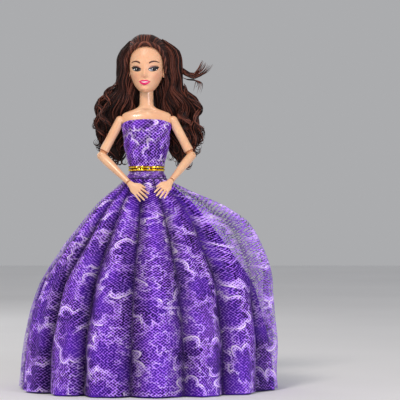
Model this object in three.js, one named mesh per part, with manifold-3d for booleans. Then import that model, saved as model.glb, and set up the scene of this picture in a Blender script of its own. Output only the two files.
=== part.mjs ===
// An articulated fashion doll in a floor-length ball gown.
// Millimetres, +Z up, the doll faces -Y, its left hand is at +X, and the floor is z = 0.

import * as THREE from 'three';
import { mergeVertices } from 'three/addons/utils/BufferGeometryUtils.js';
import Module from 'manifold-3d';

const wasm = await Module();
wasm.setup();

// Fits shared by all pieces
const clearance = 0.3; // between pieces that touch or run on each other
const pinFit = 0.2; // between a pin and its bore
const cutOverrun = 3; // how far a cutting tool passes the face that it opens

// Heights, built up from the floor
const ankleHeight = 22;
const shinLength = 55;
const thighLength = 72;
const hipToWaist = 31.8;
const waistToBust = 30.2;
const bustToShoulder = 9.3;
const shoulderToNeck = 12.7;
const neckLength = 8;
const neckToChin = 2.2;
const headHeight = 43.8;
const hairRise = 3;

const kneeHeight = ankleHeight + shinLength;
const hipHeight = kneeHeight + thighLength;
const waistHeight = hipHeight + hipToWaist;
const bustHeight = waistHeight + waistToBust;
const shoulderHeight = bustHeight + bustToShoulder;
const neckBaseHeight = shoulderHeight + shoulderToNeck;
const neckTopHeight = neckBaseHeight + neckLength;
const chinHeight = neckTopHeight + neckToChin;
const crownHeight = chinHeight + headHeight;

// Torso
const hipWidth = 35.4;
const hipDepth = 23;
const waistWidth = 25.4;
const waistDepth = 17;
const chestWidth = 36.4;
const chestDepth = 19.6;
const bustRise = 3.6;
const bustSpread = 6.4;
const shoulderWidth = 41.2;
const shoulderDepth = 14.5;
const neckWidth = 11.2;
const neckDepth = 11;
const crotchDrop = 8;
const crotchWidth = 11;

// Neck peg and head
const neckBall = 3.8;
const neckBallSink = 2.5;
const neckStem = 1.8;
const neckFlange = 4.4;
const neckFlangeHeight = 2.6;
const neckFlangeLift = 1.6;
const neckHoleMargin = 1.2;
const neckStemMargin = 0.5;
const headWidth = 28.4;
const faceDepth = 14.2;
const headBack = 17.6;
const noseRise = 2.9;
const lipRise = 1;
const headTurn = -5;
const earSize = 3.1;

// Hair
const hairThickness = 3;
const hairPuff = 16;
const hairPuffShift = 2;
const hairSpread = 50;
const hairDepth = 20;
const hairLength = 106;
const lockWidth = 5.6;
const hairClear = 3.4;
const rollWidth = 2.5;
const hairParting = 12;
const scalpFit = 0.45;

// Arms
const upperArmLength = 32.8;
const forearmLength = 35;
const handLength = 21;
const shoulderSeam = shoulderWidth / 2;
const domeRadius = 3.95;
const shoulderPivotOut = 1.2;
const shoulderPivotBack = 1;
const upperArmWidth = 7.8;
const forearmWidth = 7.5;
const wristWidth = 5;
const handWidth = 8.8;
const handThickness = 3.6;
const fingerWidth = 1.9;
const shoulderPegRadius = 2.8;
const shoulderPegLength = 6.4;
const pegFlange = 0.9;
const pegFlangeHeight = 1.5;
const armTongue = 2;
const armEye = 2.2;
const armPin = 0.75;
const elbowPegRadius = 1.9;
const elbowPegLength = 6;
const elbowTongue = 2;
const elbowEye = 2.3;
const elbowPin = 0.8;
const wristPeg = 1.05;
const wristPegLength = 5;

// Legs and shoes
const hipSpacing = 19;
const hipBall = 6.8;
const thighWidth = 13.2;
const kneeWidth = 9.8;
const calfWidth = 9.2;
const ankleWidth = 5.4;
const hipTongue = 2.6;
const hipEye = 2.7;
const hipPin = 0.9;
const hipDisc = 3.2;
const hipDiscThickness = 1.1;
const hipPeg = 1.6;
const kneeTongue = 4.2;
const kneePin = 0.9;
const legSpread = 25; // degrees outwards
const legSwing = 90; // degrees forwards
const footLength = 15;
const footWidth = 8;
const heelRadius = 2.9;
const shoeWall = 0.9;
const heelPost = 1.5;
const solePlate = 3;

// Gown
const clothThickness = 0.8;
const bodiceTopRise = 10.2;
const beltHeight = 4.2;
const beltThickness = 0.7;
const yokeHeight = 7.2;
const closureWidth = 5;
const closureThickness = 0.6;
const hemHeight = 8;
const hemHalfWidth = 100.5;
const hemHalfDepth = 77;
const layerGap = 1.1;
const laceBillow = 32;
const laceClearOfFloor = 1.2;
const foldDepth = 10; // from the valley of a fold to its crest at the hem
const skirtFolds = 15;
const foldSides = 4;
const skirtSides = skirtFolds * foldSides;

const yokeTopHeight = waistHeight - beltHeight / 2;
const yokeBottomHeight = yokeTopHeight - yokeHeight;
const bodiceTopHeight = bustHeight + bodiceTopRise;

// Pose of the photograph, in degrees
const armPoses = {
  left: { swing: 5.9, raise: 27.5, swivel: 49, bend: 68.8, palm: 74, handBend: 10 },
  right: { swing: 5.9, raise: 27.4, swivel: 68, bend: 72.8, palm: 90, handBend: 10 },
};

const skinColour = 0xf0c4a4;
const hairColour = 0x3a1f1a;
const satinColour = 0x5b2bb0;
const laceColour = 0x8f6fd8;
const goldColour = 0xd9a520;
const shoeColour = 0x6a3cc0;
const pegColour = 0xe6b894;

const radians = THREE.MathUtils.degToRad;

// Closed meshes from rings of points, each ring turning left as seen from the last one
function loft(rings) {
  const sides = rings[0].length;
  const points = rings.flat();
  const index = [];
  const centreOf = (ring) => ring.reduce((sum, p) => sum.add(p), new THREE.Vector3()).divideScalar(sides);
  const bottom = points.push(centreOf(rings[0])) - 1;
  const top = points.push(centreOf(rings[rings.length - 1])) - 1;
  const lastRing = (rings.length - 1) * sides;
  for (let j = 0; j < sides; j += 1) {
    const next = (j + 1) % sides;
    for (let i = 0; i < rings.length - 1; i += 1) {
      const low = i * sides;
      const high = low + sides;
      index.push(low + j, low + next, high + next, low + j, high + next, high + j);
    }
    index.push(bottom, next, j, top, lastRing + j, lastRing + next);
  }
  return meshOf(points, index);
}

// A closed wall between an outer and an inner stack of rings, open at both ends
function wall(outer, inner) {
  const sides = outer[0].length;
  const levels = outer.length;
  const points = [...outer.flat(), ...inner.flat()];
  const inside = levels * sides;
  const index = [];
  for (let j = 0; j < sides; j += 1) {
    const next = (j + 1) % sides;
    for (let i = 0; i < levels - 1; i += 1) {
      const a = i * sides;
      const b = a + sides;
      index.push(a + j, a + next, b + next, a + j, b + next, b + j);
      index.push(inside + a + next, inside + a + j, inside + b + j);
      index.push(inside + a + next, inside + b + j, inside + b + next);
    }
    const top = (levels - 1) * sides;
    index.push(next, j, inside + j, next, inside + j, inside + next);
    index.push(top + j, top + next, inside + top + next, top + j, inside + top + next, inside + top + j);
  }
  return meshOf(points, index);
}

function meshOf(points, index) {
  const geometry = new THREE.BufferGeometry();
  geometry.setAttribute('position', new THREE.Float32BufferAttribute(points.flatMap((p) => [p.x, p.y, p.z]), 3));
  geometry.setIndex(index);
  return geometry;
}

function solid(geometry) {
  const bare = geometry.clone();
  bare.deleteAttribute('normal');
  bare.deleteAttribute('uv');
  const merged = mergeVertices(bare);
  const vertProperties = new Float32Array(merged.attributes.position.array);
  const triVerts = new Uint32Array(merged.index.array);
  return new wasm.Manifold(new wasm.Mesh({ numProp: 3, vertProperties, triVerts }));
}

function geometryOf(body) {
  const mesh = body.getMesh();
  const geometry = new THREE.BufferGeometry();
  geometry.setAttribute('position', new THREE.BufferAttribute(new Float32Array(mesh.vertProperties), 3));
  geometry.setIndex(new THREE.BufferAttribute(new Uint32Array(mesh.triVerts), 1));
  return geometry;
}

function flipFaces(geometry) {
  const index = geometry.index.array;
  for (let i = 0; i < index.length; i += 3) [index[i], index[i + 1]] = [index[i + 1], index[i]];
  return geometry;
}

const mirroredSolid = (body) => solid(flipFaces(geometryOf(body).scale(-1, 1, 1)));

// A loft whose rings ran the wrong way round comes back with its faces outwards
const facedOutwards = (body) => (body.volume() < 0 ? solid(flipFaces(geometryOf(body))) : body);

const joined = (bodies) => bodies.reduce((sum, body) => sum.add(body));

function box(low, high) {
  const size = high.map((value, axis) => value - low[axis]);
  const centre = high.map((value, axis) => (value + low[axis]) / 2);
  return solid(new THREE.BoxGeometry(...size).translate(...centre));
}

// A cylinder or cone from one place on its axis to another
function rod(axis, from, to, radius, centre = [0, 0, 0], endRadius = radius, sides = 12) {
  const shape = new THREE.CylinderGeometry(endRadius, radius, to - from, sides);
  shape.rotateY(Math.PI / sides).translate(0, (to + from) / 2, 0);
  if (axis === 'x') shape.rotateZ(-Math.PI / 2);
  if (axis === 'z') shape.rotateX(Math.PI / 2);
  return solid(shape.translate(...centre));
}

function ball(radius, centre = [0, 0, 0], scale = [1, 1, 1], sides = 14) {
  const shape = new THREE.SphereGeometry(radius, sides, Math.round(sides / 2));
  shape.rotateX(Math.PI / 2);
  return solid(shape.scale(...scale).translate(...centre));
}

// A smooth value between stations, each a row whose first entry is where it stands
function valueAt(stations, at, column) {
  const last = stations.length - 1;
  const place = THREE.MathUtils.clamp(at, stations[0][0], stations[last][0]);
  let i = 0;
  while (i < last - 1 && place > stations[i + 1][0]) i += 1;
  const slope = (k) => (stations[k + 1][column] - stations[k][column]) / (stations[k + 1][0] - stations[k][0]);
  const tangent = (k) => {
    if (k === 0) return slope(0);
    if (k === last) return slope(last - 1);
    const before = slope(k - 1);
    const after = slope(k);
    return before * after <= 0 ? 0 : (2 * before * after) / (before + after);
  };
  const span = stations[i + 1][0] - stations[i][0];
  const t = (place - stations[i][0]) / span;
  const rise = stations[i + 1][column] - stations[i][column];
  const ease = t * t * (3 - 2 * t);
  const lead = t * (1 - t) * (1 - t) * tangent(i) * span;
  const trail = t * t * (t - 1) * tangent(i + 1) * span;
  return stations[i][column] + rise * ease + lead + trail;
}

// Columns of the tables of stations after the place itself
const widthColumn = 1;
const depthColumn = 2;
const shiftColumn = 3;

const evenly = (count, from, to) => Array.from({ length: count + 1 }, (_, i) => from + ((to - from) * i) / count);
const turns = (sides) => Array.from({ length: sides }, (_, j) => (2 * Math.PI * j) / sides);
const bell = (distance, spread) => Math.exp(-((distance / spread) ** 2));

// A limb hanging down from its origin: rows of distance, half width, half depth and shift to the back
function limb(stations, sides, steps, offset = 0, from = stations[0][0], to = stations[stations.length - 1][0]) {
  const rings = evenly(steps, to, from).map((down) =>
    turns(sides).map((angle) => {
      const halfWidth = valueAt(stations, down, widthColumn) + offset;
      const halfDepth = valueAt(stations, down, depthColumn) + offset;
      const back = valueAt(stations, down, shiftColumn);
      return new THREE.Vector3(halfWidth * Math.cos(angle), back + halfDepth * Math.sin(angle), -down);
    }),
  );
  return solid(loft(rings));
}

// A tapering tube along a smooth path
function sweep(points, radii, sides, steps, offset = 0, flat = 1) {
  const path = new THREE.CatmullRomCurve3(points);
  const frames = path.computeFrenetFrames(steps);
  const stations = radii.map((radius, i) => [i / (radii.length - 1), radius]);
  const rings = evenly(steps, 0, 1).map((share, i) => {
    const centre = path.getPointAt(share);
    const radius = valueAt(stations, share, 1) + offset;
    return turns(sides).map((angle) =>
      centre
        .clone()
        .addScaledVector(frames.normals[i], radius * Math.cos(angle))
        .addScaledVector(frames.binormals[i], radius * flat * Math.sin(angle)),
    );
  });
  return loft(rings);
}

// The doll's trunk: rows of height, half width, half depth and shift to the back
const trunk = [
  [hipHeight - crotchDrop, crotchWidth / 2, hipDepth * 0.3, 0],
  [hipHeight - crotchDrop / 2, hipWidth * 0.42, hipDepth * 0.43, 0],
  [hipHeight + hipToWaist * 0.1, hipWidth * 0.49, hipDepth / 2, hipDepth * 0.03],
  [hipHeight + hipToWaist * 0.3, hipWidth / 2, hipDepth / 2, hipDepth * 0.03],
  [hipHeight + hipToWaist * 0.55, hipWidth * 0.46, hipDepth * 0.45, 0],
  [waistHeight, waistWidth / 2, waistDepth / 2, 0],
  [waistHeight + waistToBust * 0.35, waistWidth * 0.57, waistDepth * 0.52, 0],
  [waistHeight + waistToBust * 0.7, chestWidth * 0.47, chestDepth * 0.48, 0],
  [bustHeight, chestWidth / 2, chestDepth / 2, 0],
  [shoulderHeight, shoulderWidth * 0.492, shoulderDepth * 0.56, shoulderPivotBack],
  [shoulderHeight + shoulderToNeck * 0.37, shoulderWidth * 0.485, shoulderDepth * 0.42, shoulderPivotBack],
  [shoulderHeight + shoulderToNeck * 0.5, shoulderWidth * 0.44, shoulderDepth * 0.39, shoulderPivotBack],
  [shoulderHeight + shoulderToNeck * 0.66, shoulderWidth * 0.315, shoulderDepth * 0.4, shoulderPivotBack],
  [shoulderHeight + shoulderToNeck * 0.8, neckWidth * 0.76, neckDepth * 0.54, 0],
  [neckBaseHeight, neckWidth * 0.53, neckDepth / 2, 0],
  [neckBaseHeight + neckLength * 0.47, neckWidth / 2, neckDepth / 2, 0],
  [neckTopHeight, neckWidth / 2, neckDepth / 2, 0],
];
const bustTurnShares = [-0.155, -0.345];
const bustTurnSpread = 0.45;

function trunkPoint(height, angle, offset = 0) {
  const halfWidth = valueAt(trunk, height, widthColumn) + offset;
  const halfDepth = valueAt(trunk, height, depthColumn) + offset;
  const signed = angle > Math.PI ? angle - 2 * Math.PI : angle;
  const bust = bustTurnShares.reduce((sum, share) => sum + bell(signed - share * 2 * Math.PI, bustTurnSpread), 0);
  const out = bustRise * bust * bell(height - bustHeight, bustSpread);
  return new THREE.Vector3(
    (halfWidth + out * 0.2) * Math.cos(angle),
    valueAt(trunk, height, shiftColumn) + (halfDepth + out) * Math.sin(angle),
    height,
  );
}

const trunkSides = 20;
const trunkHeights = [
  ...evenly(13, hipHeight - crotchDrop, shoulderHeight),
  ...evenly(6, shoulderHeight, neckBaseHeight).slice(1),
  neckBaseHeight + neckLength * 0.47,
  neckTopHeight,
];

// The trunk's own levels between two heights, with those heights at the ends
const trunkLevels = (from, to) => {
  const margin = clearance * 2;
  return [from, ...trunkHeights.filter((height) => height > from + margin && height < to - margin), to];
};

const trunkRings = (heights, sides, offset) =>
  heights.map((height) => turns(sides).map((angle) => trunkPoint(height, angle, offset)));

// Group frames that the joints turn in
const doll = new THREE.Group();

function frameAt(parent, position, turn = [0, 0, 0]) {
  const frame = new THREE.Group();
  frame.position.set(...position);
  frame.rotation.set(...turn.map(radians));
  parent.add(frame);
  return frame;
}

// Adds a piece to its frame; a right-hand piece is the left one mirrored
function addPiece(parent, name, geometry, colour, roughness, metalness = 0, mirrored = false) {
  const shape = geometry.clone();
  if (mirrored) flipFaces(shape.scale(-1, 1, 1));
  shape.computeVertexNormals();
  const piece = new THREE.Mesh(shape, new THREE.MeshStandardMaterial({ color: colour, roughness, metalness }));
  piece.name = name;
  parent.add(piece);
  return piece;
}

// Shoulder places, shared by the trunk's sockets and the hubs
const shoulderPivotX = shoulderSeam + shoulderPivotOut;
const hubFace = shoulderSeam + clearance;
const pegInner = hubFace - shoulderPegLength;

// A peg with a flange, along X from the seam inwards; the socket is the same form grown by the clearance
function shoulderPeg(grow) {
  const shaft = rod('x', pegInner - grow, hubFace + pegFlange, shoulderPegRadius + grow);
  const flange = rod('x', pegInner - grow, pegInner + pegFlangeHeight + grow, shoulderPegRadius + pegFlange + grow);
  return shaft.add(flange).translate([0, shoulderPivotBack, shoulderHeight]);
}

const hipPivotX = hipSpacing / 2;
const archRadius = hipBall + clearance;
const plateHalf = hipPivotX - archRadius;
const hipPegInner = clearance;

// The opening for one thigh: an arch right through the pelvis
function legArch(side) {
  const outline = new THREE.Shape();
  outline.moveTo(-archRadius, -crotchDrop - cutOverrun);
  outline.lineTo(archRadius, -crotchDrop - cutOverrun);
  outline.lineTo(archRadius, 0);
  outline.absarc(0, 0, archRadius, 0, Math.PI, false);
  outline.closePath();
  const depth = hipDepth + 2 * cutOverrun;
  const shape = new THREE.ExtrudeGeometry(outline, { depth, bevelEnabled: false, curveSegments: 12 });
  shape.translate(0, 0, -depth / 2).rotateX(Math.PI / 2);
  return solid(shape.translate(side * hipPivotX, 0, hipHeight));
}

const neckPivotHeight = neckTopHeight - neckBallSink;

// The way that the thigh takes past the pelvis while it swings forward and is spread
function legSweep(side) {
  const thigh = rod('z', -hipDepth, 0, archRadius, [0, 0, 0], archRadius, 12).rotate([0, -side * legSpread, 0]);
  return joined(evenly(2, 0, legSwing).map((swing) => thigh.rotate([-swing, 0, 0])))
    .translate([side * hipPivotX, 0, hipHeight]);
}

function makeTorso() {
  const body = solid(loft(trunkRings(trunkHeights, trunkSides, 0)));
  const socket = shoulderPeg(clearance);
  const seamCut = shoulderSeam + clearance / 2;
  const beyondSeam = box(
    [seamCut, -shoulderDepth, bustHeight],
    [seamCut + domeRadius + cutOverrun, shoulderDepth, shoulderHeight + 2 * domeRadius],
  );
  const hipBore = rod('x', 0, plateHalf + cutOverrun, hipPeg + clearance, [0, 0, hipHeight], hipPeg + clearance, 10);
  const cuts = joined([
    socket,
    mirroredSolid(socket),
    beyondSeam,
    mirroredSolid(beyondSeam),
    legArch(1),
    legArch(-1),
    legSweep(1),
    legSweep(-1),
    hipBore,
    mirroredSolid(hipBore),
    ball(neckBall + clearance, [0, 0, neckPivotHeight]),
  ]);
  const whole = body.subtract(cuts);
  const reach = shoulderWidth;
  const low = [-reach, clearance / 2, 0];
  const high = [reach, reach, crownHeight];
  const rearSide = box(low, high);
  const frontSide = box([-reach, -reach, 0], [reach, -clearance / 2, crownHeight]);
  addPiece(doll, 'torso_front', geometryOf(whole.intersect(frontSide)), skinColour, 0.42);
  addPiece(doll, 'torso_back', geometryOf(whole.intersect(rearSide)), skinColour, 0.42);
}

// The neck peg: a ball in the cup of the neck, a stem, and a flange that the head snaps over
const flangeBase = neckBallSink + neckToChin + clearance + neckFlangeLift;
const neckFrame = frameAt(doll, [0, 0, neckPivotHeight]);

function makeNeckPeg() {
  const knob = ball(neckBall);
  const stem = rod('z', 0, flangeBase + clearance, neckStem);
  const flange = rod('z', flangeBase, flangeBase + neckFlangeHeight, neckFlange, [0, 0, 0], neckFlange * 0.6);
  addPiece(neckFrame, 'neck_peg', geometryOf(joined([knob, stem, flange])), pegColour, 0.5);
}

// The head, in a frame whose origin is the neck pivot
const headFrame = frameAt(neckFrame, [0, 0, 0], [0, 0, headTurn]);
const headBase = chinHeight - neckPivotHeight;
const headRise = (share) => headBase + headHeight * share;

// Rows of height, half width, front reach and back reach
const skull = [
  [headRise(0), headWidth * 0.1, faceDepth * 0.8, headBack * 0.36],
  [headRise(0.02), headWidth * 0.15, faceDepth * 0.87, headBack * 0.44],
  [headRise(0.08), headWidth * 0.273, faceDepth * 0.94, headBack * 0.58],
  [headRise(0.13), headWidth * 0.33, faceDepth * 0.965, headBack * 0.67],
  [headRise(0.19), headWidth * 0.378, faceDepth * 0.975, headBack * 0.75],
  [headRise(0.27), headWidth * 0.437, faceDepth * 0.985, headBack * 0.85],
  [headRise(0.38), headWidth * 0.482, faceDepth, headBack * 0.94],
  [headRise(0.52), headWidth / 2, faceDepth, headBack],
  [headRise(0.66), headWidth * 0.49, faceDepth * 0.96, headBack * 0.99],
  [headRise(0.77), headWidth * 0.44, faceDepth * 0.86, headBack * 0.94],
  [headRise(0.87), headWidth * 0.36, faceDepth * 0.68, headBack * 0.8],
  [headRise(0.96), headWidth * 0.21, faceDepth * 0.34, headBack * 0.5],
  [headRise(1), headWidth * 0.06, faceDepth * 0.05, headBack * 0.14],
];

// Swells of the face: share of half width, share of height, rise, spread across, spread up
const eyeSink = 1.1;
const cheekRise = 0.5;
const chinRise = 0.7;
const faceForms = [
  [0, 0.315, noseRise, headWidth * 0.055, headHeight * 0.045],
  [0, 0.39, noseRise * 0.45, headWidth * 0.05, headHeight * 0.09],
  [0, 0.185, lipRise, headWidth * 0.13, headHeight * 0.04],
  [0, 0.05, chinRise, headWidth * 0.14, headHeight * 0.05],
  [0.5, 0.455, -eyeSink, headWidth * 0.12, headHeight * 0.05],
  [-0.5, 0.455, -eyeSink, headWidth * 0.12, headHeight * 0.05],
  [0.55, 0.3, cheekRise, headWidth * 0.14, headHeight * 0.08],
  [-0.55, 0.3, cheekRise, headWidth * 0.14, headHeight * 0.08],
];

function headPoint(height, angle, offset = 0) {
  const halfWidth = valueAt(skull, height, widthColumn) + offset;
  const front = valueAt(skull, height, depthColumn) + offset;
  const back = valueAt(skull, height, shiftColumn) + offset;
  const middle = (back - front) / 2;
  const x = halfWidth * Math.cos(angle);
  const y = middle + ((back + front) / 2) * Math.sin(angle);
  const facing = Math.max(0, -Math.sin(angle));
  const swell = faceForms.reduce((sum, [across, up, rise, wide, tall]) => {
    const dx = x - (across * headWidth) / 2;
    return sum + rise * bell(dx, wide) * bell(height - headRise(up), tall);
  }, 0);
  return new THREE.Vector3(x, y - swell * facing, height);
}

// Turns that lie closer together on the face than on the back of the head
const faceGatherShare = 0.42;
const faceTurns = (sides) => turns(sides).map((angle) => angle + faceGatherShare * Math.cos(angle));

// The head grown by an offset on all sides
function headShell(offset, levels = 16, sides = 20, from = 0, to = 1, lift = offset) {
  const rings = evenly(levels, from, to).map((share) =>
    faceTurns(sides).map((angle) => {
      const point = headPoint(headRise(share), angle, offset);
      return point.setZ(point.z + lift * (2 * share - 1));
    }),
  );
  return solid(loft(rings));
}

function makeHead() {
  const skin = headShell(0);
  const ear = ball(earSize, [0, 0, 0], [0.45, 0.62, 1.15], 8);
  const earHeight = headRise(0.4);
  const earOut = headWidth * 0.485;
  const ears = ear.translate([earOut, 0, earHeight]).add(ear.translate([-earOut, 0, earHeight]));
  const lip = rod('z', 0, flangeBase, neckStem + neckStemMargin);
  const pocket = rod('z', flangeBase - clearance, flangeBase + neckFlangeHeight + clearance, neckFlange + clearance);
  const head = skin.add(ears).subtract(joined([lip, pocket]));
  addPiece(headFrame, 'head', geometryOf(head), skinColour, 0.5);
}

// The hair's crown covers the scalp and leaves the face and the neck open
const hairlineHalfWidth = headWidth * 0.5;
const hairlineTop = headRise(0.865);
const hairlineSquareShare = 2 / 2.6;

// A place on the rounded outline of the hairline, grown by an offset
function hairlinePoint(angle, grow) {
  const centre = headRise(0.42);
  const bent = (value) => Math.sign(value) * Math.abs(value) ** hairlineSquareShare;
  return [
    (hairlineHalfWidth + grow) * bent(Math.cos(angle)),
    centre + (hairlineTop - centre + grow) * bent(Math.sin(angle)),
  ];
}

// Teased hair gives the crown its height and breadth
const hairPuffBody = (grow) =>
  ball(hairPuff + grow, [hairPuffShift, hairPuffShift, headRise(0.66)], [1, 0.95, 1.08], 10);
const hairEnvelope = (grow) =>
  headShell(hairThickness + grow, 10, 14, 0.06, 1, hairRise + grow).add(hairPuffBody(grow));

function faceWindow(grow) {
  const window = new THREE.Shape(turns(28).map((angle) => new THREE.Vector2(...hairlinePoint(angle, grow))));
  const depth = faceDepth + hairThickness + cutOverrun;
  const shape = new THREE.ExtrudeGeometry(window, { depth, bevelEnabled: false, curveSegments: 9 });
  return solid(shape.rotateX(Math.PI / 2)).translate([0, -faceDepth * 0.25, 0]);
}

function makeHairCrown() {
  const scalp = headShell(clearance + scalpFit, 10, 14);
  const earRoom = ball(earSize + 2 * clearance, [0, 0, 0], [0.45, 0.62, 1.15], 8);
  const earOut = headWidth * 0.485;
  const ears = earRoom.translate([earOut, 0, headRise(0.4)]).add(earRoom.translate([-earOut, 0, headRise(0.4)]));
  const chinRoom = box(
    [-headWidth, -headWidth, 0],
    [headWidth, headBack * 0.1, headRise(0.3)],
  );
  const cap = hairEnvelope(0).subtract(faceWindow(0)).add(frontRoll())
    .subtract(joined([scalp, ears, chinRoom]));
  addPiece(headFrame, 'hair_crown', geometryOf(cap), hairColour, 0.55);
}

// The twisted roll follows the hairline from one temple over the forehead to the other
function frontRoll() {
  const points = evenly(12, 0.02, 0.98).map((share) => {
    const angle = Math.PI * share;
    const forward = faceDepth * (0.2 + 0.52 * Math.sin(angle) ** 2);
    const [across, height] = hairlinePoint(angle, rollWidth * 0.6);
    return new THREE.Vector3(across, -forward, height);
  });
  const thin = rollWidth * 0.5;
  return solid(sweep(points, [thin, rollWidth * 0.95, rollWidth * 0.75, rollWidth * 0.95, thin], 6, 12));
}

// The hanging lengths: shares of drop, inner spread, outer spread, front depth and back depth
const hairMassShares = {
  left: [
    [0.02, 0.1, 0.26, 0.1, 0.5],
    [0.057, 0.1, 0.38, 0, 0.64],
    [0.113, 0.14, 0.53, -0.06, 0.8],
    [0.19, 0.2, 0.575, -0.06, 0.9],
    [0.31, 0.22, 0.57, 0.04, 0.94],
    [0.4, 0.16, 0.62, 0.16, 1],
    [0.48, 0.12, 0.8, 0.26, 1],
    [0.57, 0.12, 0.86, 0.36, 1],
    [0.7, 0.14, 0.85, 0.4, 0.96],
    [0.78, 0.22, 0.9, 0.42, 0.9],
    [0.86, 0.34, 0.8, 0.44, 0.82],
    [0.94, 0.46, 0.7, 0.48, 0.74],
    [1, 0.56, 0.64, 0.54, 0.64],
  ],
  right: [
    [0.03, 0.1, 0.27, 0.1, 0.5],
    [0.057, 0.1, 0.32, 0, 0.64],
    [0.113, 0.14, 0.43, -0.06, 0.8],
    [0.19, 0.2, 0.49, -0.06, 0.9],
    [0.31, 0.22, 0.48, 0.04, 0.94],
    [0.4, 0.16, 0.54, 0.16, 1],
    [0.48, 0.12, 0.78, 0.26, 1],
    [0.57, 0.12, 0.84, 0.36, 1],
    [0.7, 0.14, 0.84, 0.4, 0.96],
    [0.78, 0.2, 0.8, 0.42, 0.9],
    [0.85, 0.3, 0.74, 0.44, 0.82],
    [0.92, 0.36, 0.6, 0.48, 0.74],
    [0.97, 0.42, 0.5, 0.54, 0.64],
  ],
  back: [
    [0.13, -0.3, 0.3, 0.4, 0.98],
    [0.25, -0.3, 0.3, 0.5, 1.06],
    [0.4, -0.3, 0.3, 0.42, 1.12],
    [0.55, -0.3, 0.3, 0.48, 1.14],
    [0.7, -0.3, 0.3, 0.56, 1.12],
    [0.84, -0.28, 0.28, 0.6, 1.06],
    [0.94, -0.22, 0.22, 0.66, 0.98],
    [1, -0.1, 0.1, 0.7, 0.86],
  ],
};
const flyawayShares = [
  [0.4, 0.5, 0.24, 0.5],
  [0.62, 0.5, 0.31, 0.42],
  [0.84, 0.44, 0.3, 0.3],
  [1.03, 0.4, 0.23, 0.12],
];
const hairLocks = 6;
const hairLockDepthShare = 0.13;
const hairWaves = 3.5;

// One mass of hair whose surface is parted into wavy locks
function hairMass(side, sign) {
  const rows = hairMassShares[side];
  const hairTop = crownHeight + hairRise - neckPivotHeight;
  const rings = evenly(10, rows[rows.length - 1][0], rows[0][0]).map((drop) => {
    const inner = valueAt(rows, drop, 1) * hairSpread;
    const outer = valueAt(rows, drop, 2) * hairSpread;
    const front = valueAt(rows, drop, 3) * hairDepth;
    const back = valueAt(rows, drop, 4) * hairDepth;
    const wave = Math.sin(hairWaves * 2 * Math.PI * drop);
    return turns(16).map((angle) => {
      const parted = 1 + hairLockDepthShare * Math.cos(hairLocks * angle + wave);
      const x = (inner + outer) / 2 + ((outer - inner) / 2) * parted * Math.cos(angle);
      const y = (front + back) / 2 + ((back - front) / 2) * parted * Math.sin(angle);
      return new THREE.Vector3(sign * x, y, hairTop - drop * hairLength);
    });
  });
  return facedOutwards(solid(loft(rings)));
}

function flyaway() {
  const hairTop = crownHeight + hairRise - neckPivotHeight;
  const points = flyawayShares.map(([across, back, drop]) =>
    new THREE.Vector3(across * hairSpread, back * hairDepth, hairTop - drop * hairLength));
  return solid(sweep(points, flyawayShares.map((row) => row[3] * lockWidth), 6, 7));
}

function makeHair() {
  makeHairCrown();
  const far = hairLength * 2;
  const edge = hairParting + clearance;
  const zones = {
    left: box([edge, -far, -far], [far, far, far]),
    right: box([-far, -far, -far], [-edge, far, far]),
    back: box([-hairParting, -far, -far], [hairParting, far, far]),
  };
  // The lengths hang straight, so the turned crown's room is cut from them in their own frame
  const turned = (body) => solid(geometryOf(body).rotateZ(radians(headTurn)));
  const neckRoom = rod('z', -far, 0, neckWidth / 2 + neckHoleMargin);
  const bodyRoom = solid(loft(trunkRings(trunkLevels(yokeTopHeight, neckTopHeight), trunkSides, hairClear)));
  const room = joined([turned(hairEnvelope(clearance)), neckRoom, bodyRoom.translate([0, 0, -neckPivotHeight])]);
  const masses = { left: hairMass('left', 1).add(flyaway()), right: hairMass('right', -1), back: hairMass('back', 1) };
  for (const [side, mass] of Object.entries(masses)) {
    addPiece(neckFrame, `hair_${side}_lengths`, geometryOf(mass.intersect(zones[side]).subtract(room)), hairColour, 0.55);
  }
}

// Shoulder hub: half a ball outside the seam, a flanged peg inside, and a slot for the arm's tongue
function makeShoulderHub() {
  const toPivot = -shoulderPivotX;
  const dome = ball(domeRadius, [0, 0, 0], [1, 1, 1], 12);
  const outside = box([hubFace - shoulderPivotX, -domeRadius * 2, -domeRadius * 2],
    [domeRadius * 2, domeRadius * 2, domeRadius * 2]);
  const peg = shoulderPeg(0).translate([toPivot, -shoulderPivotBack, -shoulderHeight]);
  const slotHalf = armTongue / 2 + clearance;
  const slot = box(
    [-armEye - clearance, -slotHalf, -domeRadius - cutOverrun],
    [domeRadius + cutOverrun, slotHalf, armEye + clearance],
  );
  const pinHalf = domeRadius * 0.8;
  const bore = rod('y', -pinHalf - pinFit, pinHalf + pinFit, armPin + pinFit, [0, 0, 0], armPin + pinFit, 8);
  return {
    hub: dome.intersect(outside).add(peg).subtract(slot).subtract(bore),
    pin: rod('y', -pinHalf, pinHalf, armPin, [0, 0, 0], armPin, 8),
  };
}

// Upper arm: cupped over the hub's dome, with a tongue inside it, and a bore for the elbow peg
const elbowSeam = upperArmWidth * 0.55;
const elbowBoreTop = elbowSeam + elbowPegLength;

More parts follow.
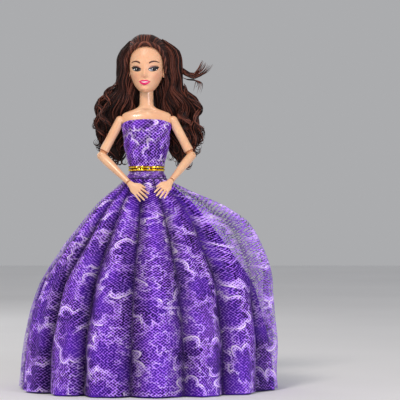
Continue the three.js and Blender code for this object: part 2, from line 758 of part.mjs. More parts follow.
function makeUpperArm() {
  const half = upperArmWidth / 2;
  const end = upperArmLength - elbowSeam;
  const stations = [
    [0, half, half, 0],
    [end * 0.3, half, half, 0],
    [end * 0.65, half * 0.95, half * 0.95, 0],
    [end, half, half * 0.97, 0],
  ];
  const tube = limb(stations, 12, 5);
  const cup = ball(domeRadius + clearance, [0, 0, 0], [1, 1, 1], 12);
  const torsoSide = box([-domeRadius * 3, -domeRadius * 2, -end],
    [hubFace - shoulderPivotX, domeRadius * 2, domeRadius]);
  const eye = rod('y', -armTongue / 2, armTongue / 2, armEye, [0, 0, 0], armEye, 12);
  const stem = box([-armEye * 0.8, -armTongue / 2, -domeRadius - cutOverrun], [armEye * 0.8, armTongue / 2, 0]);
  const pinBore = rod('y', -armTongue, armTongue, armPin + pinFit, [0, 0, 0], armPin + pinFit, 8);
  const pegGrow = clearance * 0.8;
  const bore = elbowPegSolid(pegGrow).translate([0, 0, -upperArmLength]);
  return tube.subtract(cup).subtract(turnedBack(torsoSide)).add(eye.add(stem)).subtract(pinBore).subtract(bore);
}

// The hub's flat face stays upright while the arm leans out, so the arm is trimmed in the hub's frame
function turnedBack(body) {
  const raise = radians(armPoses.left.raise);
  return solid(geometryOf(body).rotateY(raise));
}

// Elbow peg along Z above the pin: shaft and flange, without its tongue
function elbowPegSolid(grow) {
  const from = elbowSeam - clearance - grow - cutOverrun * Math.sign(grow);
  const shaft = rod('z', from, elbowBoreTop + grow, elbowPegRadius + grow, [0, 0, 0], elbowPegRadius + grow, 10);
  const flangeRadius = elbowPegRadius + pegFlange * 0.7 + grow;
  const flangeFrom = elbowBoreTop - pegFlangeHeight - grow;
  return shaft.add(rod('z', flangeFrom, elbowBoreTop + grow, flangeRadius, [0, 0, 0], flangeRadius, 10));
}

function makeElbow() {
  const eye = rod('x', -elbowTongue / 2, elbowTongue / 2, elbowEye, [0, 0, 0], elbowEye, 12);
  const stem = box([-elbowTongue / 2, -elbowEye * 0.75, 0], [elbowTongue / 2, elbowEye * 0.75, elbowSeam + clearance]);
  const bore = rod('x', -elbowTongue, elbowTongue, elbowPin + pinFit, [0, 0, 0], elbowPin + pinFit, 8);
  const pinHalf = forearmWidth * 0.44;
  return {
    peg: joined([eye, stem, elbowPegSolid(0)]).subtract(bore),
    pin: rod('x', -pinHalf, pinHalf, elbowPin, [0, 0, 0], elbowPin, 8),
  };
}

// Forearm: round knuckle with a slot for the peg's tongue, tapering to the wrist
function makeForearm() {
  const half = forearmWidth / 2;
  const wrist = wristWidth / 2;
  const stations = [
    [0, half * 0.96, half * 0.96, 0],
    [forearmLength * 0.2, half, half, 0],
    [forearmLength * 0.5, half * 0.9, half * 0.88, 0],
    [forearmLength * 0.85, wrist * 1.08, wrist, 0],
    [forearmLength, wrist, wrist * 0.92, 0],
  ];
  const knuckle = ball(half * 0.985, [0, 0, 0], [1, 1, 1], 12);
  const slotHalf = elbowTongue / 2 + clearance;
  const room = elbowEye + clearance;
  const slot = box([-slotHalf, -forearmWidth, -room], [slotHalf, room, forearmWidth]);
  const pinBore = rod('x', -forearmWidth, forearmWidth, elbowPin + pinFit, [0, 0, 0], elbowPin + pinFit, 8);
  const boreDepth = wristPegLength + clearance;
  const bore = rod('z', -forearmLength - cutOverrun, boreDepth - forearmLength, wristPeg + clearance, [0, 0, 0],
    wristPeg + clearance, 8);
  return limb(stations, 12, 5).add(knuckle).subtract(joined([slot, pinBore, bore]));
}

// Fingers: share across the palm, length share, sideways lean share, thickness share
const fingerShares = [
  [0.78, 0.4, 0.16, 0.9],
  [0.27, 0.47, 0.05, 1],
  [-0.25, 0.45, -0.04, 1],
  [-0.74, 0.36, -0.16, 0.85],
];
const palmShare = 0.5;

// Hand: fingers down, back of the hand to -Y, thumb at -X for the left hand
function makeHand(bend) {
  const palm = handLength * palmShare;
  const half = handWidth / 2;
  const thick = handThickness / 2;
  const wrist = wristWidth / 2;
  const seam = clearance;
  const stations = [
    [seam, wrist * 0.96, wrist * 0.9, 0],
    [palm * 0.35, wrist * 1.2, thick, 0],
    [palm * 0.7, half, thick, 0],
    [palm, half * 0.98, thick * 0.8, 0],
    [palm * 1.08, half * 0.9, thick * 0.45, 0],
  ];
  const bodies = [limb(stations, 12, 5)];
  for (const [across, long, lean, thickShare] of fingerShares) {
    const radius = (fingerWidth / 2) * thickShare;
    const reach = handLength * long;
    const x = across * half;
    const tip = x + lean * reach;
    const points = [
      new THREE.Vector3(x * 0.96, 0, -palm * 0.82),
      new THREE.Vector3((x + tip) / 2, -radius * 0.35, -palm - reach * 0.45),
      new THREE.Vector3(tip, radius * 0.6, -palm - reach * 1.02),
    ];
    bodies.push(solid(sweep(points, [radius, radius * 1.02, radius * 0.62], 5, 4)));
  }
  const thumb = [
    new THREE.Vector3(half * 0.35, 0, -palm * 0.3),
    new THREE.Vector3(half * 1.12, thick * 0.35, -palm * 0.72),
    new THREE.Vector3(half * 1.42, thick * 0.6, -palm * 1.3),
  ];
  const thumbRadius = fingerWidth * 0.56;
  bodies.push(solid(sweep(thumb, [thumbRadius, thumbRadius * 1.05, thumbRadius * 0.6], 5, 4)));
  const bent = solid(geometryOf(mirroredSolid(joined(bodies))).rotateX(radians(bend)));
  const above = box([-handLength, -handLength, -seam], [handLength, handLength, handLength]);
  return bent.subtract(above).add(rod('z', -seam * 2, wristPegLength, wristPeg, [0, 0, 0], wristPeg, 8));
}

function makeArms() {
  const { hub, pin } = makeShoulderHub();
  const upperArm = makeUpperArm();
  const { peg, pin: elbowPinBody } = makeElbow();
  const forearm = makeForearm();
  for (const [side, sign] of [['left', 1], ['right', -1]]) {
    const pose = armPoses[side];
    const flip = sign < 0;
    const hubFrame = frameAt(doll, [sign * shoulderPivotX, shoulderPivotBack, shoulderHeight], [-pose.swing, 0, 0]);
    addPiece(hubFrame, `${side}_shoulder_hub`, geometryOf(hub), skinColour, 0.42, 0, flip);
    addPiece(hubFrame, `${side}_shoulder_pin`, geometryOf(pin), pegColour, 0.4, 0, flip);
    const armFrame = frameAt(hubFrame, [0, 0, 0], [0, -sign * pose.raise, 0]);
    addPiece(armFrame, `${side}_upper_arm`, geometryOf(upperArm), skinColour, 0.42, 0, flip);
    const swivelFrame = frameAt(armFrame, [0, 0, -upperArmLength], [0, 0, -sign * pose.swivel]);
    addPiece(swivelFrame, `${side}_elbow_peg`, geometryOf(peg), pegColour, 0.45, 0, flip);
    addPiece(swivelFrame, `${side}_elbow_pin`, geometryOf(elbowPinBody), pegColour, 0.4, 0, flip);
    const forearmFrame = frameAt(swivelFrame, [0, 0, 0], [-pose.bend, 0, 0]);
    addPiece(forearmFrame, `${side}_forearm`, geometryOf(forearm), skinColour, 0.42, 0, flip);
    const handFrame = frameAt(forearmFrame, [0, 0, -forearmLength], [0, 0, sign * pose.palm]);
    addPiece(handFrame, `${side}_hand`, geometryOf(makeHand(pose.handBend)), skinColour, 0.45, 0, flip);
  }
}

// Hip hub: a disc against the pelvis plate, a peg into it, and a tongue out to the thigh
function makeHipHub() {
  const discInner = clearance - Math.sqrt(archRadius ** 2 - hipDisc ** 2);
  const peg = rod('x', hipPegInner - hipPivotX, discInner + clearance, hipPeg, [0, 0, 0], hipPeg, 8);
  const disc = rod('x', discInner, discInner + hipDiscThickness, hipDisc, [0, 0, 0], hipDisc, 12);
  const stem = box([discInner + clearance, -hipTongue / 2, -hipEye * 0.8], [0, hipTongue / 2, hipEye * 0.8]);
  const eye = rod('y', -hipTongue / 2, hipTongue / 2, hipEye, [0, 0, 0], hipEye, 12);
  const bore = rod('y', -hipTongue, hipTongue, hipPin + pinFit, [0, 0, 0], hipPin + pinFit, 8);
  const pinHalf = hipBall * 0.8;
  return {
    hub: joined([peg, disc, stem, eye]).subtract(bore),
    pin: rod('y', -pinHalf, pinHalf, hipPin, [0, 0, 0], hipPin, 8),
  };
}

const kneeKnuckle = kneeWidth / 2;

// Thigh: ball top with a slot for the hub's tongue, and a forked knee
function makeThigh() {
  const half = thighWidth / 2;
  const stations = [
    [0, half, half, 0],
    [thighLength * 0.2, half, half, 0],
    [thighLength * 0.45, half * 0.93, half * 0.96, 0],
    [thighLength * 0.8, kneeKnuckle * 1.08, kneeKnuckle * 1.1, 0],
    [thighLength, kneeKnuckle, kneeKnuckle, 0],
  ];
  const top = ball(hipBall, [0, 0, 0], [1, 1, 1], 12);
  const knee = rod('x', -kneeKnuckle, kneeKnuckle, kneeKnuckle, [0, 0, -thighLength], kneeKnuckle, 14);
  const slotHalf = hipTongue / 2 + clearance;
  const room = hipEye + clearance;
  const slot = box([-hipBall - cutOverrun, -slotHalf, -room], [room, slotHalf, hipBall + cutOverrun]);
  const discOuter = hipDiscThickness + 2 * clearance - Math.sqrt(archRadius ** 2 - hipDisc ** 2);
  const discRoom = box([-hipBall - cutOverrun, -thighWidth, -hipDisc - clearance],
    [discOuter, thighWidth, hipBall + cutOverrun]);
  const stemRoom = box([-hipBall - cutOverrun, -slotHalf, -hipEye - clearance], [0, slotHalf, hipEye + clearance]);
  // The hub turns inside the thigh while the leg spreads, and each place of it needs room
  const hubRoom = evenly(3, 0, legSpread).map((angle) => joined([discRoom, stemRoom]).rotate([0, angle, 0]));
  const pinHalf = hipBall * 0.8 + pinFit;
  const hipBore = rod('y', -pinHalf, pinHalf, hipPin + pinFit, [0, 0, 0], hipPin + pinFit, 8);
  const tongueRoom = kneeTongue / 2 + clearance;
  const forkCut = rod('x', -tongueRoom, tongueRoom, kneeKnuckle + clearance, [0, 0, -thighLength],
    kneeKnuckle + clearance, 14);
  const backTop = kneeKnuckle * 1.2 - thighLength;
  const backRoom = box([-kneeWidth, kneeKnuckle * 0.2, -thighLength], [kneeWidth, kneeWidth, backTop]);
  const disc = rod('x', -kneeWidth, kneeWidth, kneeKnuckle + clearance, [0, 0, -thighLength], kneeKnuckle + clearance, 14);
  const kneeBore = rod('x', -kneeWidth, kneeWidth, kneePin + pinFit, [0, 0, -thighLength], kneePin + pinFit, 8);
  return limb(stations, 12, 4).add(top).add(knee)
    .subtract(joined([slot, ...hubRoom, hipBore, forkCut, backRoom.subtract(disc), kneeBore]));
}

// Foot on tiptoe, from the ankle forwards and down: shares of foot length, ankle height and foot width
const footShares = [
  [0.02, 0.12, 0.66, 0.36],
  [-0.1, -0.28, 0.75, 0.42],
  [-0.36, -0.56, 0.88, 0.38],
  [-0.64, -0.76, 1, 0.29],
  [-0.9, -0.86, 0.8, 0.2],
  [-1, -0.885, 0.4, 0.11],
];

function footSolid(offset) {
  const rings = footShares.map(([along, up, wide, thick], i) => {
    const after = footShares[Math.min(i + 1, footShares.length - 1)];
    const before = footShares[Math.max(i - 1, 0)];
    const run = (after[0] - before[0]) * footLength;
    const drop = (after[1] - before[1]) * ankleHeight;
    const size = Math.hypot(run, drop);
    const halfWidth = (footWidth / 2) * wide + offset;
    const halfThick = footWidth * thick + offset;
    const end = i === footShares.length - 1 ? offset : 0;
    return turns(10).map((angle) => {
      const across = halfWidth * Math.cos(angle);
      const over = halfThick * Math.sin(angle);
      return new THREE.Vector3(
        across,
        along * footLength + (over * -drop) / size + (end * run) / size,
        up * ankleHeight + (over * run) / size + (end * drop) / size,
      );
    });
  });
  const upright = facedOutwards(solid(loft(rings)));
  const heel = ball(heelRadius + offset, [0, heelRadius * 0.75, -ankleHeight * 0.26], [0.95, 1, 1.15], 10);
  return upright.add(heel);
}

// Shin: tongue between the thigh's cheeks, calf, ankle, and the foot in one piece
function makeShin() {
  const calf = calfWidth / 2;
  const ankle = ankleWidth / 2;
  const stations = [
    [0, kneeKnuckle * 0.96, kneeKnuckle * 0.9, 0],
    [shinLength * 0.28, calf, calf, calfWidth * 0.08],
    [shinLength * 0.6, calf * 0.8, calf * 0.8, calfWidth * 0.04],
    [shinLength * 0.9, ankle, ankle * 1.05, 0],
    [shinLength, ankle, ankle * 1.05, 0],
  ];
  const tongue = rod('x', -kneeTongue / 2, kneeTongue / 2, kneeKnuckle, [0, 0, 0], kneeKnuckle, 14);
  const outer = kneeWidth;
  const cheekRoom = joined([-1, 1].map((side) => {
    const from = kneeTongue / 2 + clearance / 2;
    const low = side > 0 ? from : -outer;
    const high = side > 0 ? outer : -from;
    return rod('x', low, high, kneeKnuckle + clearance, [0, 0, 0], kneeKnuckle + clearance, 14);
  }));
  const topRoom = box([-outer, -outer, 0], [outer, outer, outer]);
  const bore = rod('x', -outer, outer, kneePin + pinFit, [0, 0, 0], kneePin + pinFit, 8);
  const foot = footSolid(0).translate([0, 0, -shinLength]);
  return limb(stations, 12, 5).subtract(topRoom).subtract(cheekRoom).add(tongue).add(foot).subtract(bore);
}

// High-heeled shoe, in the ankle's frame
function makeShoe() {
  const outer = footSolid(clearance + shoeWall);
  const inner = footSolid(clearance);
  const floor = -ankleHeight;
  const sole = new THREE.Shape();
  sole.absellipse(0, -footLength * 0.74, footWidth * 0.48, footLength * 0.36, 0, 2 * Math.PI, false);
  const plate = new THREE.ExtrudeGeometry(sole, { depth: solePlate, bevelEnabled: false, curveSegments: 7 });
  const soleSolid = solid(plate.translate(0, 0, floor));
  const heelTop = -ankleHeight * 0.42;
  const post = rod('z', floor, heelTop, heelPost, [0, heelRadius * 1.05, 0], heelPost * 1.7, 8);
  const rimBack = -ankleHeight * 0.14;
  const rimFront = -ankleHeight * 0.62;
  const slope = Math.atan2(rimBack - rimFront, footLength * 0.7);
  const lid = new THREE.BoxGeometry(footWidth * 3, footLength * 4, ankleHeight);
  lid.translate(0, 0, ankleHeight / 2).rotateX(slope).translate(0, heelRadius, rimBack);
  const below = box([-footWidth, -footLength * 2, floor - ankleHeight], [footWidth, footLength, floor]);
  const shell = outer.subtract(solid(lid));
  return joined([shell, soleSolid, post]).subtract(inner).subtract(below).subtract(solid(lid));
}

function makeLegs() {
  const { hub, pin } = makeHipHub();
  const thigh = makeThigh();
  const shin = makeShin();
  const shoe = makeShoe();
  const kneePinHalf = kneeWidth * 0.46;
  const kneePinBody = rod('x', -kneePinHalf, kneePinHalf, kneePin, [0, 0, 0], kneePin, 8);
  for (const [side, sign] of [['left', 1], ['right', -1]]) {
    const flip = sign < 0;
    const hipFrame = frameAt(doll, [sign * hipPivotX, 0, hipHeight]);
    addPiece(hipFrame, `${side}_hip_hub`, geometryOf(hub), pegColour, 0.45, 0, flip);
    addPiece(hipFrame, `${side}_thigh`, geometryOf(thigh), skinColour, 0.42, 0, flip);
    addPiece(hipFrame, `${side}_hip_pin`, geometryOf(pin), pegColour, 0.4, 0, flip);
    const kneeFrame = frameAt(hipFrame, [0, 0, -thighLength]);
    addPiece(kneeFrame, `${side}_knee_pin`, geometryOf(kneePinBody), pegColour, 0.4, 0, flip);
    addPiece(kneeFrame, `${side}_shin`, geometryOf(shin), skinColour, 0.42, 0, flip);
    const ankleFrame = frameAt(kneeFrame, [0, 0, -shinLength]);
    addPiece(ankleFrame, `${side}_shoe`, geometryOf(shoe), shoeColour, 0.3, 0, flip);
  }
}

// Fitted parts of the gown follow the trunk at named offsets
const bodiceInside = clearance * 2;
const bodiceOutside = bodiceInside + clothThickness;
const edgeFlareShare = 0.05; // how far a lowered top edge stands off, as a share of its lowering
const beltInside = bodiceOutside + clearance;

function fittedBand(from, to, inside, outside, lowering = () => 0, deepest = 0) {
  const levels = [...trunkLevels(from, to - deepest).slice(0, -1), to];
  const rings = (offset) =>
    levels.map((height) =>
      turns(trunkSides).map((angle) =>
        height < to
          ? trunkPoint(height, angle, offset)
          : trunkPoint(to - lowering(angle), angle, offset + deepest * edgeFlareShare),
      ),
    );
  return wall(rings(outside), rings(inside));
}

function makeBodice() {
  const dip = bodiceTopRise * 0.42;
  const topEdge = (angle) => dip * (0.5 + 0.5 * Math.sin(angle)) + dip * 0.62 * Math.cos(angle) ** 4;
  const from = yokeTopHeight + clearance / 2;
  const band = fittedBand(from, bodiceTopHeight, bodiceInside, bodiceOutside, topEdge, dip * 1.3);
  const armRoom = shoulderSeam;
  const keep = box([-armRoom, -chestDepth * 2, 0], [armRoom, chestDepth * 2, crownHeight]);
  addPiece(doll, 'bodice', geometryOf(solid(band).intersect(keep)), laceColour, 0.6);
  const beltTop = yokeTopHeight + beltHeight;
  const belt = fittedBand(yokeTopHeight, beltTop, beltInside, beltInside + beltThickness);
  addPiece(doll, 'belt', belt, goldColour, 0.25, 1);
  const yoke = fittedBand(yokeBottomHeight, yokeTopHeight - clearance / 2, bodiceInside, bodiceOutside);
  addPiece(doll, 'yoke', yoke, laceColour, 0.6);
}

function makeClosure() {
  const low = yokeTopHeight + beltHeight + clearance;
  const high = bodiceTopHeight - bodiceTopRise * 0.6;
  const half = closureWidth / 2;
  const outer = solid(loft(trunkRings(trunkLevels(low, high), trunkSides, bodiceOutside + clearance + closureThickness)));
  const inner = solid(loft(trunkRings(trunkLevels(low - cutOverrun, high + cutOverrun), trunkSides, bodiceOutside + clearance)));
  const strip = box([-half, 0, 0], [half, chestDepth * 2, crownHeight]);
  addPiece(doll, 'back_closure', geometryOf(outer.intersect(strip).subtract(inner)), satinColour, 0.8);
}

// The skirt's spread below the yoke: share of height, then shares of the widening at the side, front and back
const skirtShares = [
  [0, 1, 1, 1],
  [0.2, 0.965, 0.893, 0.92],
  [0.33, 0.908, 0.79, 0.85],
  [0.5, 0.81, 0.62, 0.7],
  [0.64, 0.629, 0.43, 0.54],
  [0.78, 0.421, 0.15, 0.32],
  [0.89, 0.24, 0.02, 0.16],
  [0.965, 0.07, 0.004, 0.05],
  [1, 0, 0, 0],
];

// How far the lace stands off the satin at the doll's left: share of height, share of the billow
const billowShares = [
  [0, 0],
  [0.05, 0],
  [0.2, 0.12],
  [0.45, 0.36],
  [0.66, 0.84],
  [0.79, 1],
  [0.87, 0.74],
  [0.94, 0.3],
  [1, 0],
];
const skirtLevelShares = [0, 0.2, 0.42, 0.62, 0.77, 0.88, 1];

// Depth of the folds: share of height, share of the depth at the hem
const foldDepthShares = [
  [0, 1],
  [0.3, 0.86],
  [0.58, 0.64],
  [0.8, 0.4],
  [0.93, 0.18],
  [1, 0.05],
];
const foldMiddleShare = 0.6;
const foldVaryShare = 0.22;
const foldBunchShare = 0.06;
const foldRoundShare = 0.8;

// Folds run straight down from the waist, shifted round it a little so that no two are alike
const foldTurn = (turn) => turn + foldBunchShare * (Math.sin(4 * turn) + Math.cos(3 * turn));
const foldCrest = (turn) => Math.abs(Math.sin((skirtFolds * turn) / 2)) ** foldRoundShare - foldMiddleShare;

const yokeHalfWidth = trunkPoint(yokeBottomHeight, 0).x + bodiceOutside;
const yokeHalfDepth = trunkPoint(yokeBottomHeight, Math.PI / 2).y + bodiceOutside;

function skirtPoint(height, turn, offset, billow) {
  const up = height / yokeBottomHeight;
  const angle = foldTurn(turn);
  const side = yokeHalfWidth + (hemHalfWidth - yokeHalfWidth) * valueAt(skirtShares, up, 1);
  const column = Math.sin(angle) < 0 ? 2 : 3;
  const depth = yokeHalfDepth + (hemHalfDepth - yokeHalfDepth) * valueAt(skirtShares, up, column);
  const vary = 1 + foldVaryShare * Math.cos(3 * turn);
  const fold = foldDepth * foldCrest(turn) * vary * valueAt(foldDepthShares, up, 1);
  const sideways = Math.max(0, Math.cos(angle)) ** 3;
  const stand = billow * valueAt(billowShares, up, 1) * sideways;
  return new THREE.Vector3(
    (side + fold + offset + stand) * Math.cos(angle),
    (depth + fold + offset) * Math.sin(angle),
    height,
  );
}

function skirtLayer(from, to, inside, outside, billow, levelShares) {
  const rings = (offset) =>
    levelShares.map((share) =>
      turns(skirtSides).map((turn) => skirtPoint(from + (to - from) * share, turn, offset, billow)),
    );
  return wall(rings(outside), rings(inside));
}

function makeSkirt() {
  const top = yokeBottomHeight - clearance;
  const satinOut = clothThickness;
  const laceIn = satinOut + layerGap;
  const hem = skirtLayer(0, hemHeight, 0, satinOut, 0, [0, 1]);
  addPiece(doll, 'skirt_hem', hem, satinColour, 0.4);
  const satin = skirtLayer(hemHeight + clearance, top, 0, satinOut, 0, skirtLevelShares);
  addPiece(doll, 'satin_skirt', satin, satinColour, 0.4);
  const laceOut = laceIn + clothThickness;
  const lace = skirtLayer(laceClearOfFloor, top, laceIn, laceOut, laceBillow, skirtLevelShares);
  addPiece(doll, 'lace_overskirt', lace, laceColour, 0.7);
}

makeTorso();
makeNeckPeg();
makeHead();
makeHair();
makeArms();
makeLegs();
makeBodice();
makeClosure();
makeSkirt();

export default doll;
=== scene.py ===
import math
import random

import bmesh
import bpy
from mathutils import Matrix, Vector, noise


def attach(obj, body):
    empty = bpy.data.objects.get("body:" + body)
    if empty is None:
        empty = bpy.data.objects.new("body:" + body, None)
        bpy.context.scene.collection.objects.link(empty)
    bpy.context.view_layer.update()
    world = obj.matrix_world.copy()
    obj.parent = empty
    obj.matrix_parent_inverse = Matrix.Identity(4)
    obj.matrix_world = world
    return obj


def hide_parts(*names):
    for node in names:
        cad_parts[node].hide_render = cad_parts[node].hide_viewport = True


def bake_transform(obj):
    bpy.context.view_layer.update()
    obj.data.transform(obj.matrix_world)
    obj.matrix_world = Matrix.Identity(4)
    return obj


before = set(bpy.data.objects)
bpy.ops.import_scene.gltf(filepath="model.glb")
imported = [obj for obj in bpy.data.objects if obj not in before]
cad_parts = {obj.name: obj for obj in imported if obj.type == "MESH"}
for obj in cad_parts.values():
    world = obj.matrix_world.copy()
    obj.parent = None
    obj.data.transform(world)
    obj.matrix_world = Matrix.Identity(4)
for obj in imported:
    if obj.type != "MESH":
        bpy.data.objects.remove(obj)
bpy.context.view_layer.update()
mm = 0.001
print("frame loaded")


# Colours, nodes and meshes

# An sRGB hex colour as linear values
def linear(hexText):
    parts = [int(hexText[i:i + 2], 16) / 255 for i in (1, 3, 5)]
    return (*(c / 12.92 if c <= 0.04045 else ((c + 0.055) / 1.055) ** 2.4 for c in parts), 1.0)


# Fills a node's inputs, each with a value or with the output that feeds it
def feed(tree, node, inputs):
    for key, value in inputs.items():
        if isinstance(value, bpy.types.NodeSocket):
            tree.links.new(value, node.inputs[key])
        else:
            node.inputs[key].default_value = value


# Adds a node with its settings, its inputs and the stops of its ramp, and returns one of its outputs
def addNode(tree, kind, inputs, output=0, stops=(), **settings):
    node = tree.nodes.new("ShaderNode" + kind)
    for key, value in settings.items():
        setattr(node, key, value)
    feed(tree, node, inputs)
    for i, (place, colour) in enumerate(stops):
        element = node.color_ramp.elements[i] if i < 2 else node.color_ramp.elements.new(place)
        element.position = place
        element.color = linear(colour)
    return node.outputs[output]


def newMaterial(name):
    material = bpy.data.materials.new(name)
    material.use_nodes = True
    return material, material.node_tree, material.node_tree.nodes["Principled BSDF"]


# Makes an object of a mesh, with its doubled corners joined and its faces turned outwards
def finishMesh(bm, name, material, merge=1e-7):
    if merge:
        bmesh.ops.remove_doubles(bm, verts=bm.verts, dist=merge)
    bmesh.ops.recalc_face_normals(bm, faces=bm.faces)
    mesh = bpy.data.meshes.new(name)
    for face in bm.faces:
        face.smooth = True
    bm.to_mesh(mesh)
    bm.free()
    obj = bpy.data.objects.new(name, mesh)
    bpy.context.scene.collection.objects.link(obj)
    mesh.materials.append(material)
    return obj


def closeHoles(bm):
    bmesh.ops.holes_fill(bm, edges=[edge for edge in bm.edges if edge.is_boundary], sides=0)


# Adds a grid whose corners are placed by a function of their shares across and along it
def gridInto(bm, across, along, place, uvPlace=None):
    uv = bm.loops.layers.uv.verify()
    made = bmesh.ops.create_grid(bm, x_segments=across, y_segments=along, size=0.5)
    verts = made["verts"]
    faces = {face for vert in verts for face in vert.link_faces}
    for face in faces:
        for loop in face.loops:
            u, v = loop.vert.co.x + 0.5, loop.vert.co.y + 0.5
            loop[uv].uv = uvPlace(u, v) if uvPlace else (u, v)
    for vert in verts:
        vert.co = place(vert.co.x + 0.5, vert.co.y + 0.5)
    return faces


def gridMesh(name, material, across, along, place, uvPlace=None, merge=1e-7):
    bm = bmesh.new()
    gridInto(bm, across, along, place, uvPlace)
    return finishMesh(bm, name, material, merge=merge)


# Value of a column at a place between rows, on a curve that never overshoots them
def valueAt(rows, at, column):
    last = len(rows) - 1
    place = min(max(at, rows[0][0]), rows[last][0])
    i = 0
    while i < last - 1 and place > rows[i + 1][0]:
        i += 1

    def slope(k):
        return (rows[k + 1][column] - rows[k][column]) / (rows[k + 1][0] - rows[k][0])

    def tangent(k):
        if k == 0:
            return slope(0)
        if k == last:
            return slope(last - 1)
        before, after = slope(k - 1), slope(k)
        return 0 if before * after <= 0 else 2 * before * after / (before + after)

    span = rows[i + 1][0] - rows[i][0]
    t = (place - rows[i][0]) / span
    rise = rows[i + 1][column] - rows[i][column]
    return (rows[i][column] + rise * t * t * (3 - 2 * t) + t * (1 - t) ** 2 * tangent(i) * span
            + t * t * (t - 1) * tangent(i + 1) * span)


# The same curve read from a fine table, which is faster
def tabulate(rows, steps=400):
    low, high = rows[0][0], rows[-1][0]
    columns = range(1, len(rows[0]))
    table = [[valueAt(rows, low + (high - low) * i / steps, c) for c in columns] for i in range(steps + 1)]

    def read(at, column):
        t = min(max((at - low) / (high - low), 0), 1) * steps
        i = min(int(t), steps - 1)
        return table[i][column - 1] + (table[i + 1][column - 1] - table[i][column - 1]) * (t - i)

    return read


def bell(distance, spread):
    return math.exp(-(distance / spread) ** 2)


def clamp(value, low=0.0, high=1.0):
    return min(max(value, low), high)


def smooth01(t):
    t = clamp(t)
    return t * t * (3 - 2 * t)


# Sizes of the solids, in millimetres

hip, waist, bust, shoulder, neckBase, neckTop, chin, crown, hairTop = (
    149, 180.8, 211, 220.3, 233, 241, 243.2, 287, 290)
hipWidth, hipDepth, waistWidth, waistDepth = 35.4, 23, 25.4, 17
chestWidth, chestDepth, shoulderWidth, shoulderDepth = 36.4, 19.6, 41.2, 14.5
neckWidth, neckDepth = 11.2, 11
headWidth, faceDepth, headBack, headHeight = 28.4, 14.2, 17.6, 43.8
neckPivot = 238.5
headTurn = math.radians(-5)

trunkRows = tabulate([
    [141, 5.5, hipDepth * 0.3, 0],
    [145, hipWidth * 0.42, hipDepth * 0.43, 0],
    [hip + 3.18, hipWidth * 0.49, hipDepth / 2, hipDepth * 0.03],
    [hip + 9.54, hipWidth / 2, hipDepth / 2, hipDepth * 0.03],
    [hip + 17.49, hipWidth * 0.46, hipDepth * 0.45, 0],
    [waist, waistWidth / 2, waistDepth / 2, 0],
    [waist + 10.57, waistWidth * 0.57, waistDepth * 0.52, 0],
    [waist + 21.14, chestWidth * 0.47, chestDepth * 0.48, 0],
    [bust, chestWidth / 2, chestDepth / 2, 0],
    [shoulder, shoulderWidth * 0.492, shoulderDepth * 0.56, 1],
    [shoulder + 4.7, shoulderWidth * 0.485, shoulderDepth * 0.42, 1],
    [shoulder + 6.35, shoulderWidth * 0.44, shoulderDepth * 0.39, 1],
    [shoulder + 8.38, shoulderWidth * 0.315, shoulderDepth * 0.4, 1],
    [shoulder + 10.16, neckWidth * 0.76, neckDepth * 0.54, 0],
    [neckBase, neckWidth * 0.53, neckDepth / 2, 0],
    [neckBase + 3.76, neckWidth / 2, neckDepth / 2, 0],
    [neckTop, neckWidth / 2, neckDepth / 2, 0],
])


# Swell of the chest: how far it stands out, its spread round the trunk and up it, its two places as shares of
# a turn, and how much of it goes sideways
chest = dict(out=3.6, around=0.45, tall=6.4, places=(0.155, 0.345), sideways=0.2)


# A place on the trunk, grown by an offset
def trunkPoint(height, angle, offset=0.0):
    halfWidth = trunkRows(height, 1) + offset
    halfDepth = trunkRows(height, 2) + offset
    signed = angle - 2 * math.pi if angle > math.pi else angle
    swell = sum(bell(signed + 2 * math.pi * share, chest["around"]) for share in chest["places"])
    out = chest["out"] * swell * bell(height - bust, chest["tall"])
    return Vector(((halfWidth + out * chest["sideways"]) * math.cos(angle),
                   trunkRows(height, 3) + (halfDepth + out) * math.sin(angle), height))


# Materials

smoothly = {"interpolation_type": "SMOOTHSTEP"}


# Moulded plastic and soft vinyl: faint mottling of the colour and a fine grain that breaks the highlight
def plasticMaterial(name, light, dark, roughness, subsurface=0.12, coat=0.0):
    material, tree, shader = newMaterial(name)
    coords = addNode(tree, "TexCoord", {}, "Object")
    mottle = addNode(tree, "TexNoise", {"Vector": coords, "Scale": 60.0, "Detail": 4.0})
    patches = addNode(tree, "TexNoise", {"Vector": coords, "Scale": 240.0, "Detail": 3.0})
    grain = addNode(tree, "TexNoise", {"Vector": coords, "Scale": 900.0, "Detail": 2.0})
    low, high = roughness - 0.05, roughness + 0.07
    feed(tree, shader, {
        "Base Color": addNode(tree, "ValToRGB", {0: mottle}, stops=((0.3, dark), (0.7, light))),
        "Roughness": addNode(tree, "MapRange", {"Value": patches, "To Min": low, "To Max": high}),
        "Normal": addNode(tree, "Bump", {"Height": grain, "Strength": 0.08, "Distance": 0.00012}),
        "IOR": 1.46, "Subsurface Weight": subsurface, "Subsurface Radius": (0.0024, 0.0011, 0.0006),
        "Subsurface Scale": 1.0, "Coat Weight": coat, "Coat Roughness": 0.1})
    return material


skinVinyl = plasticMaterial("vinyl_skin_satin", "#f0bc96", "#eab088", 0.4, 0.15)
bodyPlastic = plasticMaterial("plastic_skin_gloss", "#f1c49b", "#e9b28a", 0.3, coat=0.4)
jointPlastic = plasticMaterial("plastic_joint_semi_matt", "#dd9a6c", "#c98457", 0.42, 0.05)
seamLine = plasticMaterial("plastic_seam_shade", "#b5673c", "#9c5530", 0.6, 0.0)
nailPlastic = plasticMaterial("plastic_nail_gloss", "#f7d3b8", "#f2c6a6", 0.2, 0.08)
shoePlastic = plasticMaterial("plastic_shoe_gloss_violet", "#6d3ec6", "#5a30ab", 0.2, 0.0)


